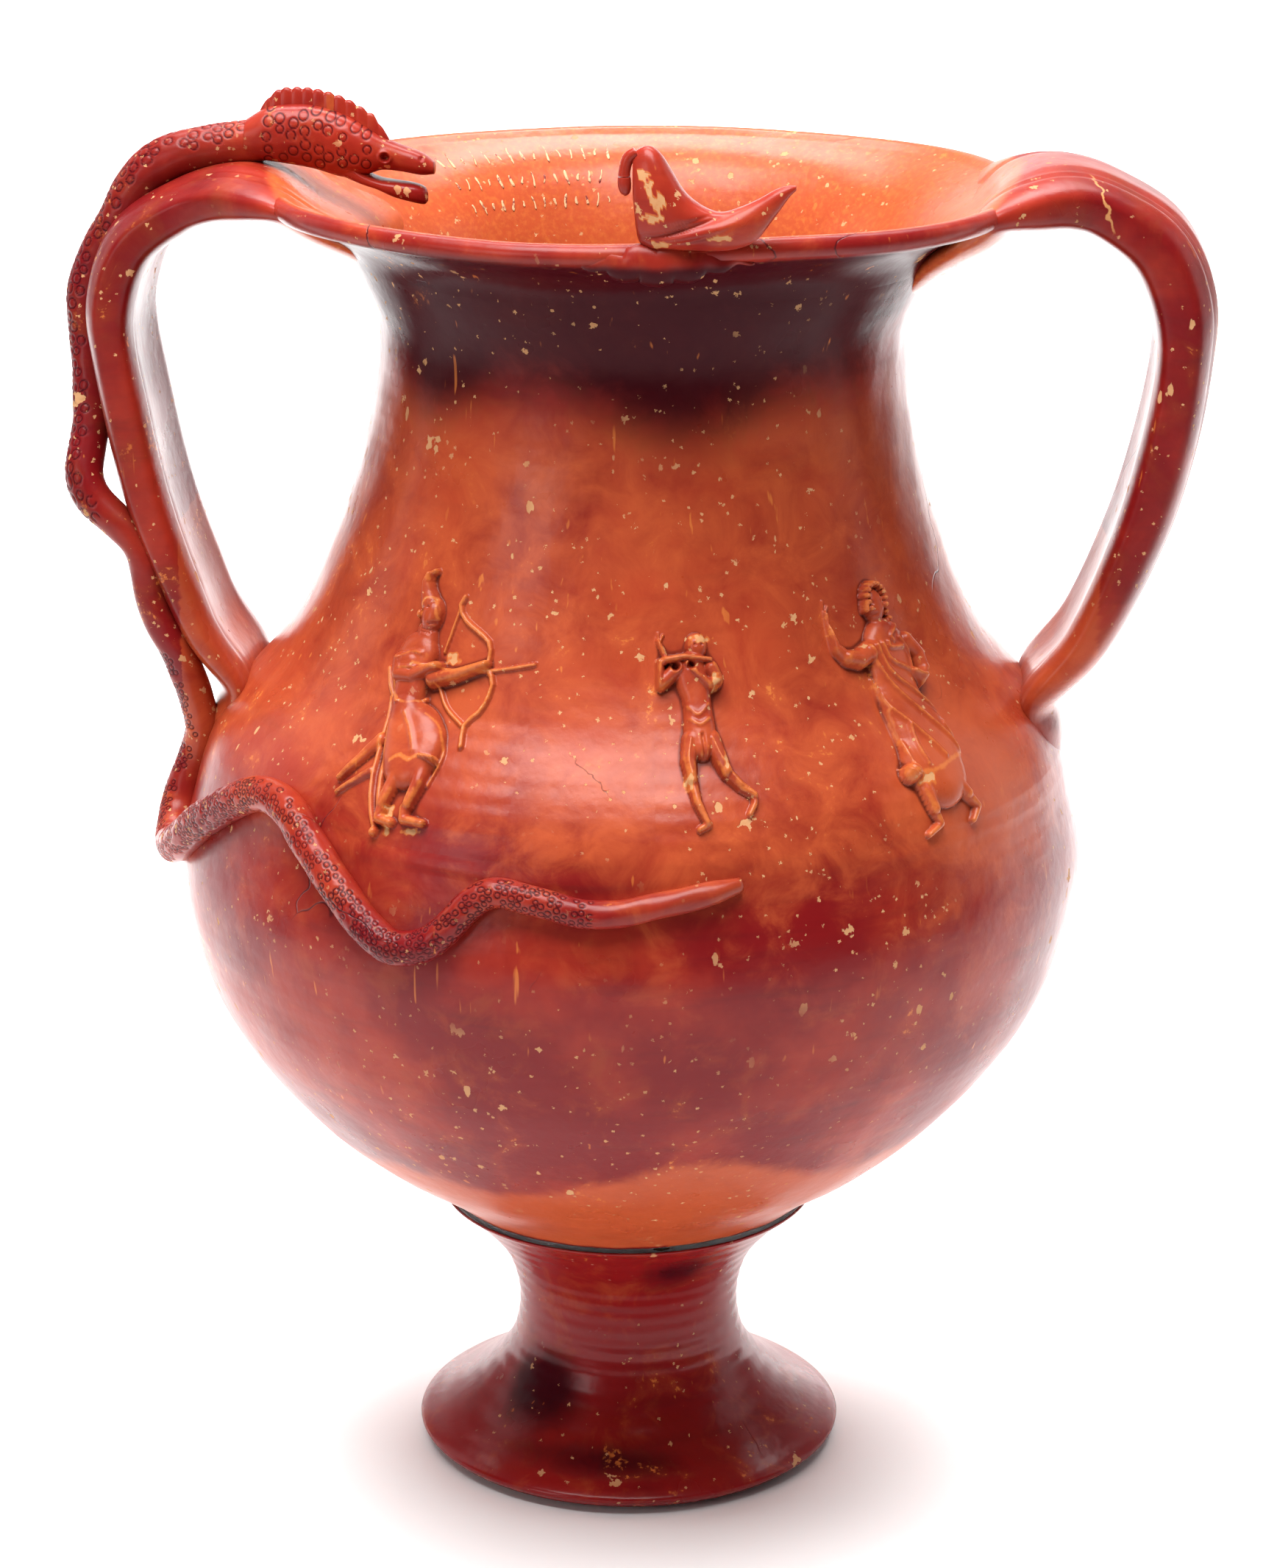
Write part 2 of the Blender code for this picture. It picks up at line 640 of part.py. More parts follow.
def add_archer(collection):
    """A standing archer in a belted tunic, drawing a bow towards the right."""
    man = Figure("archer", -28.0, 0.2225, ARCHER_HEIGHT, collection)
    man.mass("head", -0.150, 0.775, (0.0038, 0.0050, 0.0038))
    man.mass("cap", -0.170, 0.870, (0.0042, 0.0034, 0.0040))
    man.roll("cap", [(-0.175, 0.90), (-0.172, 0.975)], 0.0026, 0.5)
    tunic = [(-0.205, 0.665, 0.055), (-0.225, 0.600, 0.105), (-0.210, 0.530, 0.105), (-0.155, 0.440, 0.080),
             (-0.095, 0.380, 0.100), (-0.045, 0.300, 0.130), (-0.010, 0.235, 0.130)]
    man.torso("tunic", tunic, 0.0040)
    man.roll("neck", [(-0.160, 0.70), (-0.170, 0.62)], 0.0027)
    man.roll("arm", [(-0.330, 0.600), (-0.180, 0.535), (-0.030, 0.545)], 0.0027, 0.8, 0.9)
    man.roll("arm", [(-0.090, 0.570), (0.080, 0.580), (0.215, 0.605)], 0.0022, 0.9, 0.9)
    man.roll("leg", [(-0.035, 0.230), (-0.035, 0.080)], 0.0030, 0.75)
    man.roll("leg", [(0.105, 0.235), (0.100, 0.080)], 0.0030, 0.75)
    man.roll("foot", [(-0.045, 0.030), (0.050, 0.012)], 0.0018)
    man.roll("foot", [(0.085, 0.050), (0.205, 0.038)], 0.0018)
    man.roll("hem", [(-0.140, 0.215), (0.000, 0.222), (0.145, 0.248)], 0.0014, 1.0, 0.9)
    man.roll("sash", [(-0.210, 0.440), (-0.070, 0.447)], 0.0016, 1.0, 1.4)
    bow = [
        (0.040, 0.893), (0.058, 0.805), (0.115, 0.755), (0.195, 0.715), (0.210, 0.660), (0.225, 0.600),
        (0.258, 0.535), (0.262, 0.465), (0.237, 0.415), (0.195, 0.368), (0.230, 0.298),
    ]
    man.roll("bow", bow, 0.0013, 1.0, 0.6)
    man.cord([(0.025, 0.845), (-0.010, 0.712), (-0.053, 0.648)], 0.0008)
    man.cord([(-0.030, 0.525), (0.065, 0.420), (0.165, 0.370)], 0.0008)
    man.cord([(-0.143, 0.563), (0.150, 0.625), (0.488, 0.685)], 0.0010)
    man.cord([(-0.415, 0.535), (-0.277, 0.408), (-0.207, 0.410)])
    man.cord([(-0.303, 0.380), (-0.240, 0.270), (-0.183, 0.150), (-0.080, -0.030)])
    man.cord([(-0.258, 0.390), (-0.170, 0.240), (-0.092, 0.090)])
    man.cord([(-0.228, 0.215), (-0.427, 0.130)])
    man.cord([(-0.240, 0.200), (-0.377, 0.100)])


def add_nude(collection):
    """A small bare figure with its forearms crossed before its chest and its hands raised."""
    child = Figure("nude", 14.0, 0.2245, NUDE_HEIGHT, collection)
    child.mass("head", 0.008, 0.870, (0.0031, 0.0036, 0.0032))
    trunk = [(-0.010, 0.795, 0.070), (-0.015, 0.730, 0.105), (-0.005, 0.640, 0.085), (0.000, 0.540, 0.082),
             (-0.005, 0.450, 0.088), (0.000, 0.385, 0.070)]
    child.torso("trunk", trunk, 0.0035)
    child.roll("arm", [(-0.115, 0.740), (-0.200, 0.690), (-0.165, 0.815), (-0.188, 0.895)], 0.0019, 0.8, 0.9)
    child.roll("arm", [(0.085, 0.740), (0.055, 0.672), (-0.090, 0.760)], 0.0019, 0.8, 0.9)
    child.roll("arm", [(-0.150, 0.800), (0.060, 0.800)], 0.0016, 0.9, 1.6)
    child.roll("leg", [(-0.070, 0.400), (-0.065, 0.220), (-0.010, 0.065), (-0.058, 0.020)], 0.0025, 0.55)
    child.roll("leg", [(0.050, 0.395), (0.100, 0.260), (0.225, 0.160), (0.195, 0.085)], 0.0025, 0.55)


def add_draped(collection):
    """A striding figure in a mantle, one arm raised before it and the other on its hip."""
    man = Figure("draped", 49.0, 0.2160, DRAPED_HEIGHT, collection)
    man.mass("head", 0.030, 0.955, (0.0040, 0.0048, 0.0036))
    man.mass("hair", 0.085, 0.975, (0.0034, 0.0042, 0.0032))
    man.roll("neck", [(0.020, 0.870), (0.030, 0.800)], 0.0025)
    mantle = [(0.035, 0.810, 0.080), (0.035, 0.750, 0.135), (0.020, 0.640, 0.128), (0.007, 0.540, 0.132),
              (0.018, 0.450, 0.150), (0.030, 0.350, 0.170), (0.010, 0.265, 0.185)]
    man.torso("mantle", mantle, 0.0038)
    man.roll("arm", [(-0.045, 0.775), (-0.195, 0.750), (-0.265, 0.800)], 0.0026, 0.85, 0.6)
    man.roll("arm", [(-0.262, 0.790), (-0.265, 0.955), (-0.235, 0.999)], 0.0020, 0.75, 0.6)
    man.roll("arm", [(0.150, 0.755), (0.195, 0.620), (0.115, 0.650)], 0.0024, 0.8, 0.9)
    folds = [
        [(-0.090, 0.770), (-0.050, 0.600), (0.060, 0.440), (0.190, 0.270)],
        [(-0.020, 0.780), (0.035, 0.600), (0.125, 0.440), (0.195, 0.320)],
        [(-0.105, 0.640), (-0.100, 0.520), (-0.025, 0.400), (0.050, 0.270)],
        [(-0.110, 0.480), (-0.130, 0.370), (-0.140, 0.270)],
    ]
    for fold in folds:
        man.roll("fold", fold, 0.0011, 1.0, 2.9)
    man.roll("hem", [(-0.170, 0.262), (-0.050, 0.240), (0.185, 0.270)], 0.0015, 1.0, 1.3)
    man.mass("knot", -0.160, 0.250, (0.0034, 0.0028, 0.0032))
    man.roll("leg", [(-0.100, 0.260), (-0.110, 0.150), (-0.085, 0.055), (-0.165, 0.010)], 0.0025, 0.55)
    man.roll("leg", [(0.085, 0.290), (0.080, 0.190), (0.185, 0.065), (0.135, 0.012)], 0.0025, 0.55)


def add_bird(collection):
    """A bird luted to the front lip: neck and head upright, beak hanging, tail swept up to the right."""
    front = -(RIM_RADIUS - 0.0030)
    lip = RIM_Z - 0.0015
    shares = [
        (0.00, 0.90, 0.24, 0.10),
        (0.06, 0.98, 0.05, 0.17),
        (0.16, 0.93, 0.00, 0.21),
        (0.27, 0.78, 0.00, 0.22),
        (0.39, 0.61, 0.00, 0.21),
        (0.52, 0.43, 0.01, 0.19),
        (0.66, 0.44, 0.10, 0.16),
        (0.78, 0.50, 0.24, 0.12),
        (0.90, 0.575, 0.39, 0.08),
        (1.00, 0.61, 0.54, 0.04),
    ]
    rows = [
        (BIRD_LEFT + along * BIRD_LENGTH, lip + top * BIRD_HEIGHT, lip + low * BIRD_HEIGHT, half * BIRD_HEIGHT)
        for along, top, low, half in shares
    ]
    loft("bird", np.array(skull_rings(rows, sides=8)) + (0.0, front, 0.0), collection)
    beak = [(0.020, 0.88, 0.065), (-0.055, 0.66, 0.055), (-0.060, 0.50, 0.045)]
    rolls = [
        [BIRD_LEFT + along * BIRD_LENGTH, front - 0.001, lip + up * BIRD_HEIGHT, 0, -1, 0, r * BIRD_HEIGHT]
        for along, up, r in beak
    ]
    loft("bird_beak", tube_rings(path_through(rolls, 4), 6), collection)
    low, high = -5.5, 20.0
    smear = []
    for angle in np.linspace(low, high, 7):
        a = math.radians(angle)
        out = (math.sin(a), -math.cos(a), 0.0)
        swell = 0.0008 + 0.0022 * math.sin(math.pi * (angle - low) / (high - low))
        smear.append([out[0] * (RIM_RADIUS - 0.0012), out[1] * (RIM_RADIUS - 0.0012), RIM_Z - 0.0050, *out, swell])
    loft("bird_smear", tube_rings(np.array(smear), 8, squash=1.6), collection)


def main():
    part, joined = start_empty()
    slip = clay("red_slip", (0.42, 0.075, 0.030), 0.38)
    foot_clay = clay("foot_slip", (0.27, 0.040, 0.030), 0.33)

    vessel = made_mesh(turned("vessel", bowl_outline(), part))
    flat = np.empty(len(vessel.data.vertices) * 3)
    vessel.data.vertices.foreach_get("co", flat)
    vessel.data.vertices.foreach_set("co", lean(drawn_out(flat.reshape(-1, 3))).ravel())
    vessel.data.materials.append(slip)

    ribs = (-0.30, 0.30)
    add_strap("plain_strap", 1, strap_route(STRAP_RINGS, PLAIN_FLARE), PLAIN_THICKNESS, ribs, joined)
    add_strap("serpent_strap", -1, snake_strap_route(STRAP_RINGS), SNAKE_THICKNESS, ribs, joined)
    add_serpent(joined)
    add_archer(joined)
    add_nude(joined)
    add_draped(joined)
    add_bird(joined)

    join = vessel.modifiers.new("luted clay", "BOOLEAN")
    join.operation = "UNION"
    join.solver = "EXACT"
    join.operand_type = "COLLECTION"
    join.collection = joined
    made_mesh(vessel)
    vessel.data.shade_smooth()
    vessel.data.set_sharp_from_angle(angle=math.radians(35))

    foot = turned("foot", foot_outline(), part)
    foot.data.materials.append(foot_clay)


main()
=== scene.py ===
"""Red slipped krater with a serpent on its handle, a bird on its rim and low clay figures on its front.

Metres, +Z up. The figured front faces -Y and the serpent's handle is at -X. An angle on the wall is in
degrees from the front, growing towards +X.
"""

import math

import bmesh
import bpy
import numpy as np
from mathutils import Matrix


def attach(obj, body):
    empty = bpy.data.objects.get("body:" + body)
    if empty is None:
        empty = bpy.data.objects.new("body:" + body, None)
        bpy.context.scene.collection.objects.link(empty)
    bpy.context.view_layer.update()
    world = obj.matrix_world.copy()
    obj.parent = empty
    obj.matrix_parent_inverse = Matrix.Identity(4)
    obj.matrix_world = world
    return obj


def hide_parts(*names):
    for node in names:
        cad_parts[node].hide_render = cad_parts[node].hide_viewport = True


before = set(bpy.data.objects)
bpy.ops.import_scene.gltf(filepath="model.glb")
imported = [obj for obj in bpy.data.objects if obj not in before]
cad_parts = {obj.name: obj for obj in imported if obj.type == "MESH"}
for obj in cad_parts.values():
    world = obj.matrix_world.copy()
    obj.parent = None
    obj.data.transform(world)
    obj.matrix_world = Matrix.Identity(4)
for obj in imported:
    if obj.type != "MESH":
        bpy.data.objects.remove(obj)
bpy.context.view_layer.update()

# Turned body: radius and height of its outer face
RIM_Z = 0.375
RIM_RADIUS = 0.0985
NECK_Z = 0.335
NECK_RADIUS = 0.0728
BELLY_Z = 0.185
BELLY_RADIUS = 0.1283
SEAT_Z = 0.080
SEAT_RADIUS = 0.0535
WALL = 0.0058
LIP = 0.0062
BOWL_DIP = 0.010
AXIS_LEAN = 0.005
RIM_PULL = 0.0065
NECK_TO_BELLY = ((0.167, 0.047), (0.367, 0.195), (0.567, 0.443), (0.733, 0.805), (0.867, 0.928))
BELLY_TO_SEAT = (
    (0.190, 0.040),
    (0.381, 0.128),
    (0.571, 0.299),
    (0.733, 0.501),
    (0.848, 0.699),
    (0.933, 0.882),
)
NECK_TO_RIM = ((0.375, 0.175), (0.62, 0.292))
UNDER_LIP = ((0.0838, 0.3635), (0.0895, 0.3668))
MOUTH_FLARE = ((0.225, 0.095), (0.41, 0.19), (0.5875, 0.316), (0.725, 0.455), (0.83, 0.632), (0.905, 0.83))

# Pedestal foot
FOOT_RADIUS = 0.0624
FOOT_EDGE = 0.0086
FOOT_LIP = 0.0006
STEM_Z = 0.042
STEM_RADIUS = 0.0322
FOOT_WALL = 0.0095
FOOT_HOLLOW = 0.050
CLEARANCE = 0.0003
STEM_TO_SEAT = ((0.223, 0.037), (0.501, 0.207), (0.780, 0.585), (0.919, 0.830))
STEM_TO_EDGE = ((0.13, 0.01), (0.42, 0.10), (0.66, 0.30), (0.87, 0.58), (1.0, 0.82))
EDGE_ROUND = ((0.77, 0.0017), (0.53, 0.0), (0.23, 0.0026), (0.05, 0.0078))

# Strap handles
STRAP_REACH = 0.1482
STRAP_TOP_Z = 0.3727
STRAP_ROOT_Z = 0.233
STRAP_WIDTH = 0.050
PLAIN_THICKNESS = 0.0158
SNAKE_THICKNESS = 0.0134
SNAKE_STRAP_SAG = 0.0042
SNAKE_STRAP_DROP = 0.0026
FAN_WIDTH = 0.090
PLAIN_FLARE = 0.0032
SNAKE_FLARE = -0.0020

# Serpent
SERPENT_RADIUS = 0.0054
SERPENT_TAIL = 0.0031
HEAD_LENGTH = 0.0458
HEAD_HEIGHT = 0.0151
HEAD_WIDTH = 0.0146
HEAD_BACK = 0.0055
HEAD_X = -(RIM_RADIUS + HEAD_BACK)
HEAD_Z = STRAP_TOP_Z + SNAKE_THICKNESS / 2
CREST_HEIGHT = 0.0046
CREST_THICKNESS = 0.0024
STAMPS_FROM = 0.040
STAMPS_TO = 0.300
NECK_STAMPS = 0.145
BODY_RING = 0.00075
NECK_RING = 0.00125
RING_LINE = 0.00028
RING_DEPTH = 0.00028

# Bird on the rim
BIRD_HEIGHT = 0.0275
BIRD_LENGTH = 0.041
BIRD_LEFT = 0.0042

# Figures: angle of the middle, height of the toes and full height, and the panel of fine mesh round each
ARCHER = {"angle": -28.0, "toes": 0.2225, "height": 0.060, "turn": (-43.2, -12.0), "rise": (0.2170, 0.2850)}
NUDE = {"angle": 14.0, "toes": 0.2245, "height": 0.049, "turn": (7.2, 21.6), "rise": (0.2205, 0.2735)}
DRAPED = {"angle": 49.0, "toes": 0.2160, "height": 0.058, "turn": (38.4, 58.8), "rise": (0.2120, 0.2800)}
PANELS = (ARCHER, NUDE, DRAPED)
FINE = 0.00027
PANEL_RADIUS = 0.118
PANEL_SLANT = 1.10
RELIEF_RISE = 1.30

# Steps of the coarser grids, and tones inside the mouth
TURN_STEP = 1.2
ROW_STEP = 0.0016
WALL_TOP = 0.356
BODY_STEP = 0.0011
STAMP_STEP = 0.00038
MOUTH_ORANGE = 0.80
MOUTH_WEAR = 0.36

MM = 0.001


# Curves and small helpers


def ease(t):
    t = np.clip(t, 0, 1)
    return t * t * (3 - 2 * t)


def bump(t):
    """1 where t is 0, falling smoothly to 0 at -1 and 1."""
    return ease(1 - np.abs(t))


def through(knots, at):
    """Cubic through the (place, value) knots that never overshoots them, read at the places given."""
    places, values = np.array(sorted(knots)).T
    rise = np.diff(values) / np.diff(places)
    slope = np.concatenate([rise[:1], (rise[:-1] + rise[1:]) / 2, rise[-1:]])
    slope[1:-1][rise[:-1] * rise[1:] <= 0] = 0
    limit = 3 * np.minimum(np.abs(rise[:-1]), np.abs(rise[1:]))
    slope[1:-1] = np.sign(slope[1:-1]) * np.minimum(np.abs(slope[1:-1]), limit)
    at = np.asarray(at, float)
    cell = np.clip(np.searchsorted(places, at) - 1, 0, len(places) - 2)
    width = places[cell + 1] - places[cell]
    t = np.clip((at - places[cell]) / width, 0, 1)
    low = values[cell] * (2 * t**3 - 3 * t**2 + 1) + width * slope[cell] * (t**3 - 2 * t**2 + t)
    return low + values[cell + 1] * (3 * t**2 - 2 * t**3) + width * slope[cell + 1] * (t**3 - t**2)


def path_through(points, count):
    """Catmull-Rom curve through rows of numbers, read at evenly spaced steps of its own length."""
    points = np.asarray(points, float)
    ends = np.vstack([2 * points[0] - points[1], points, 2 * points[-1] - points[-2]])
    t = np.linspace(0, len(points) - 1 - 1e-9, 40 * len(points))
    cell = t.astype(int)
    f = (t - cell)[:, None]
    a, b, c, d = (ends[cell + k] for k in range(4))
    bend = (2 * a - 5 * b + 4 * c - d) * f**2 + (3 * b - a - 3 * c + d) * f**3
    dense = 0.5 * (2 * b + (c - a) * f + bend)
    run = length_run(dense)
    steps = np.linspace(0, run[-1], count)
    return np.column_stack([np.interp(steps, run, column) for column in dense.T])


def smoothed(rows, times):
    """Rows of numbers, each inner one moved a number of times to the mean of itself and its neighbours."""
    rows = np.array(rows, float)
    for _ in range(times):
        rows[1:-1] = (rows[:-2] + 2 * rows[1:-1] + rows[2:]) / 4
    return rows


def between(low, high, shares):
    """Knots between two (height, radius) pairs, each a share of the way in height and in radius."""
    return [(low[0] + u * (high[0] - low[0]), low[1] + v * (high[1] - low[1])) for u, v in shares]


def unit(rows):
    return rows / np.maximum(np.linalg.norm(rows, axis=-1, keepdims=True), 1e-12)


def length_run(points):
    """Distance along a path at each of its points."""
    return np.concatenate([[0], np.cumsum(np.linalg.norm(np.diff(points[:, :3], axis=0), axis=1))])


def round_about(sides):
    """Cosines and sines of evenly spaced angles right round, as one row each."""
    turn = np.linspace(0, 2 * math.pi, sides, endpoint=False)[None, :]
    return np.cos(turn), np.sin(turn)


def squared(value, power):
    """A cosine or sine pushed towards a square section by a power below 1."""
    return np.sign(value) * np.abs(value) ** power


def upright(rows, sides, wide_power, tall_power):
    """Rounded upright sections through (x, top z, underside z, half width) rows.

    Gives x, the sideways reach and the height of each vertex, and the cosine of its place in the section.
    """
    c, s = round_about(sides)
    x, top, low, half = (column[:, None] for column in rows.T)
    tall = (top + low) / 2 + (top - low) / 2 * squared(s, tall_power)
    return x, half * squared(c, wide_power), tall, c


def around(radius, a, z):
    """Points at a radius and an angle from the front."""
    return np.stack([radius * np.sin(a), -radius * np.cos(a), z + 0 * a], axis=-1)


# The turned wall

NECK = (NECK_Z, NECK_RADIUS)
BELLY = (BELLY_Z, BELLY_RADIUS)
SEAT = (SEAT_Z, SEAT_RADIUS)
RIM = (RIM_Z, RIM_RADIUS)
BODY_KNOTS = (
    [SEAT, BELLY, NECK]
    + between(BELLY, SEAT, BELLY_TO_SEAT)
    + between(NECK, BELLY, NECK_TO_BELLY)
    + between(NECK, RIM, NECK_TO_RIM)
)
PROFILE_Z = np.linspace(SEAT_Z, RIM_Z, 600)
PROFILE_RADIUS = smoothed(through(BODY_KNOTS, PROFILE_Z), 40)
PROFILE_SLOPE = np.gradient(PROFILE_RADIUS, PROFILE_Z)


def wall_radius(z):
    return np.interp(z, PROFILE_Z, PROFILE_RADIUS)


def rim_pull(z):
    return RIM_PULL * ease((z - NECK_Z) / (RIM_Z - NECK_Z)) ** 2


def drawn_out(points):
    """Pull the turned wall out towards both handles."""
    x, y, z = np.moveaxis(np.asarray(points, float), -1, 0)
    off_handle = np.abs(np.arctan2(y, np.abs(x) + 1e-12))
    radius = np.hypot(x, y) + 1e-12
    grow = 1 + rim_pull(z) / radius * ease((1.2 - off_handle) / 0.7)
    return np.stack([x * grow, y * grow, z], axis=-1)


def lean(points):
    """The neck stands a little to the right of the foot."""
    x, y, z = np.moveaxis(np.asarray(points, float), -1, 0)
    low = (SEAT_Z + BELLY_Z) / 2
    share = np.clip((z - low) / (RIM_Z - low), 0, 1)
    leaned = AXIS_LEAN * (0.7 * share + 0.3 * ease(share))
    return np.stack([x + leaned, y, z], axis=-1)


def hand_made(degrees, z):
    """How far the wall stands out of true: turning rings, slow dents and a ledge under the archer."""
    a = np.radians(degrees)
    rings = 0.05 * MM * np.sin(z / (0.72 * MM) + 1.5 * np.sin(a)) * (0.6 + 0.4 * np.sin(9 * z / 0.1 + a))
    dents = 0.22 * MM * np.sin(3 * a + 31 * z) * np.sin(2 * a - 47 * z) + 0.12 * MM * np.sin(7 * a + 83 * z)
    dents = dents + 0.10 * MM * np.sin(17 * a + 140 * z) * np.sin(11 * a - 260 * z)
    at = 0.2150 - 0.0022 * np.sin(2.2 * a + 1.4) + 0.0006 * np.sin(13 * a)
    ledge = 0.50 * MM * np.exp(-(((z - at) / 0.0016) ** 2)) * bump((degrees + 16) / 30)
    return rings + (dents + ledge) * ease((RIM_Z - 0.010 - z) / 0.03)


def lip_drop(degrees, z):
    """The lip sags at the left of the front and lifts at its right."""
    sag = -0.9 * MM * bump((degrees + 20) / 34) + 0.6 * MM * bump((degrees - 22) / 26)
    return sag * ease((z - 0.345) / 0.025)


def on_wall(degrees, z, lift=0.0):
    """Points on the outer wall: circles of the profile's radius, moved along its normal by the lift."""
    degrees, z, lift = np.broadcast_arrays(degrees, z, lift)
    slope = np.interp(z, PROFILE_Z, PROFILE_SLOPE)
    steep = np.sqrt(1 + slope**2)
    lift = lift + hand_made(degrees, z)
    radius = wall_radius(z) + lift / steep
    a = np.radians(degrees)
    height = z - lift * slope / steep + lip_drop(degrees, z)
    return lean(drawn_out(around(radius, a, height)))


# Meshes


def sheet_mesh(name, points, wrap=False, keep=None, weld=False):
    """A mesh with vertex (i, j) at points[i, j], and which points it uses.

    wrap joins the last column to the first, keep picks the cells and weld joins points that coincide.
    """
    rows, cols = points.shape[:2]
    index = np.arange(rows * cols).reshape(rows, cols)
    here = index if wrap else index[:, :-1]
    after = np.roll(index, -1, axis=1) if wrap else index[:, 1:]
    quads = np.stack([here[:-1], after[:-1], after[1:], here[1:]], axis=-1)
    quads = (quads if keep is None else quads[keep]).reshape(-1, 4)
    used, quads = np.unique(quads, return_inverse=True)
    quads = quads.reshape(-1, 4)
    mesh = bpy.data.meshes.new(name)
    mesh.vertices.add(len(used))
    mesh.vertices.foreach_set("co", points.reshape(-1, 3)[used].ravel())
    mesh.loops.add(quads.size)
    mesh.loops.foreach_set("vertex_index", quads.ravel().astype(np.int32))
    mesh.polygons.add(len(quads))
    mesh.polygons.foreach_set("loop_start", np.arange(0, quads.size, 4, dtype=np.int32))
    mesh.update(calc_edges=True)
    if weld:
        work = bmesh.new()
        work.from_mesh(mesh)
        bmesh.ops.remove_doubles(work, verts=work.verts, dist=0.02 * MM)
        bmesh.ops.recalc_face_normals(work, faces=work.faces)
        work.to_mesh(mesh)
        work.free()
    mesh.shade_smooth()
    obj = bpy.data.objects.new(name, mesh)
    bpy.context.scene.collection.objects.link(obj)
    return obj, used


def close_ends(obj):
    """Fill the open rings at a piece's ends and point its faces outwards."""
    work = bmesh.new()
    work.from_mesh(obj.data)
    bmesh.ops.holes_fill(work, edges=[e for e in work.edges if e.is_boundary], sides=0)
    bmesh.ops.recalc_face_normals(work, faces=work.faces)
    work.to_mesh(obj.data)
    work.free()


def vertices(obj):
    flat = np.empty(len(obj.data.vertices) * 3)
    obj.data.vertices.foreach_get("co", flat)
    return flat.reshape(-1, 3)


def store_tones(obj, painted_shade, orange_and_light=0.0, worn=0.0):
    """Store the slip's tones at each vertex: painted shade, orange that is partly painted top light, and
    wear that is partly painted highlight.
    """
    values = np.stack(np.broadcast_arrays(painted_shade, orange_and_light, worn, 1.0), axis=-1)
    layer = obj.data.attributes.new("tone", "FLOAT_COLOR", "POINT")
    layer.data.foreach_set("color", np.clip(values, 0, 1).ravel())


def finish(obj, node, material):
    obj.data.materials.append(material)
    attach(obj, "root")
    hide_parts(node)


def slipped(obj, slip, worn=0.0, crease=0.0, mouth=0.0):
    """Finish a piece of the vessel, its slip given painted shade in creases and paler inside the mouth."""
    painted_shade, orange_and_light = tones_and_painted_light(vertices(obj))
    # Painted shade: the broad shade from the tones, taken out inside the mouth, together with the shade
    # painted in creases and stamps.
    painted_shade = np.maximum(painted_shade * (1 - mouth), crease)
    store_tones(obj, painted_shade, np.maximum(orange_and_light, MOUTH_ORANGE * mouth), np.maximum(worn, MOUTH_WEAR * mouth))
    finish(obj, "vessel", slip)


def tones_and_painted_light(places):
    """Broad tones: painted shade under the rim, on the neck's left, below the belly and on the straps;
    orange on the right flank and low down, and on the shoulder, where it is partly painted top light.
    """
    x, y, z = places.T
    turn = np.degrees(np.arctan2(x - 0.003, -y))
    radius = np.hypot(x - 0.004, y)
    front = ease((90 - np.abs(turn)) / 40)
    wave = 0.012 * np.sin(np.radians(turn) * 3.1 + 0.7) + 0.006 * np.sin(np.radians(turn) * 7.3)
    on_neck = (radius < 0.105) * (z > 0.27)
    # Painted shade under the rim's overhang, deepest at the front, with a patch of painted shade on the
    # neck's left.
    shade_below_rim = ease((z + 0.5 * wave - 0.309) / 0.036) * ease((0.3715 - z) / 0.004)
    shade_left_of_neck = bump((turn + 46) / 22) * bump((z - 0.330) / 0.030)
    painted_shade = on_neck * (0.88 * shade_below_rim * (0.45 + 0.55 * front) + 0.45 * shade_left_of_neck)
    # Painted shade on the front below the belly's widest, where the wall faces down.
    low = bump((z + wave - 0.165) / 0.050) * bump((turn + 5) / 80) * 0.22
    painted_shade = np.clip(painted_shade + low * (radius > 0.09), 0, 1)
    # Orange on the right flank and low down; on the shoulder the orange is partly painted top light.
    shoulder_orange_and_light = ease((z + 0.8 * wave - 0.198) / 0.035) * ease((0.345 - z) / 0.030) * (radius < 0.130)
    flank = bump((turn - 55) / 48) * bump((z - 0.232) / 0.075) * (radius < 0.135)
    low_band = 0.85 * ease((0.122 + wave * 0.6 - z) / 0.010) * (z > 0.08)
    # Painted shade on what stands out past the shoulder above the handle roots: the straps' loops and the
    # serpent on them.
    painted_shade = np.maximum(painted_shade, 0.34 * ease((radius - 0.107) / 0.012) * ease((z - 0.236) / 0.030))
    return painted_shade, np.maximum.reduce([0.56 * shoulder_orange_and_light, 0.78 * flank, low_band])


# Clay relief as heights on the wall


def flat_path(spots):
    """A smooth run of points through a few (across, up) places."""
    spots = np.asarray(spots, float)
    return path_through(np.column_stack([spots, np.zeros(len(spots))]), 20)[:, :2]


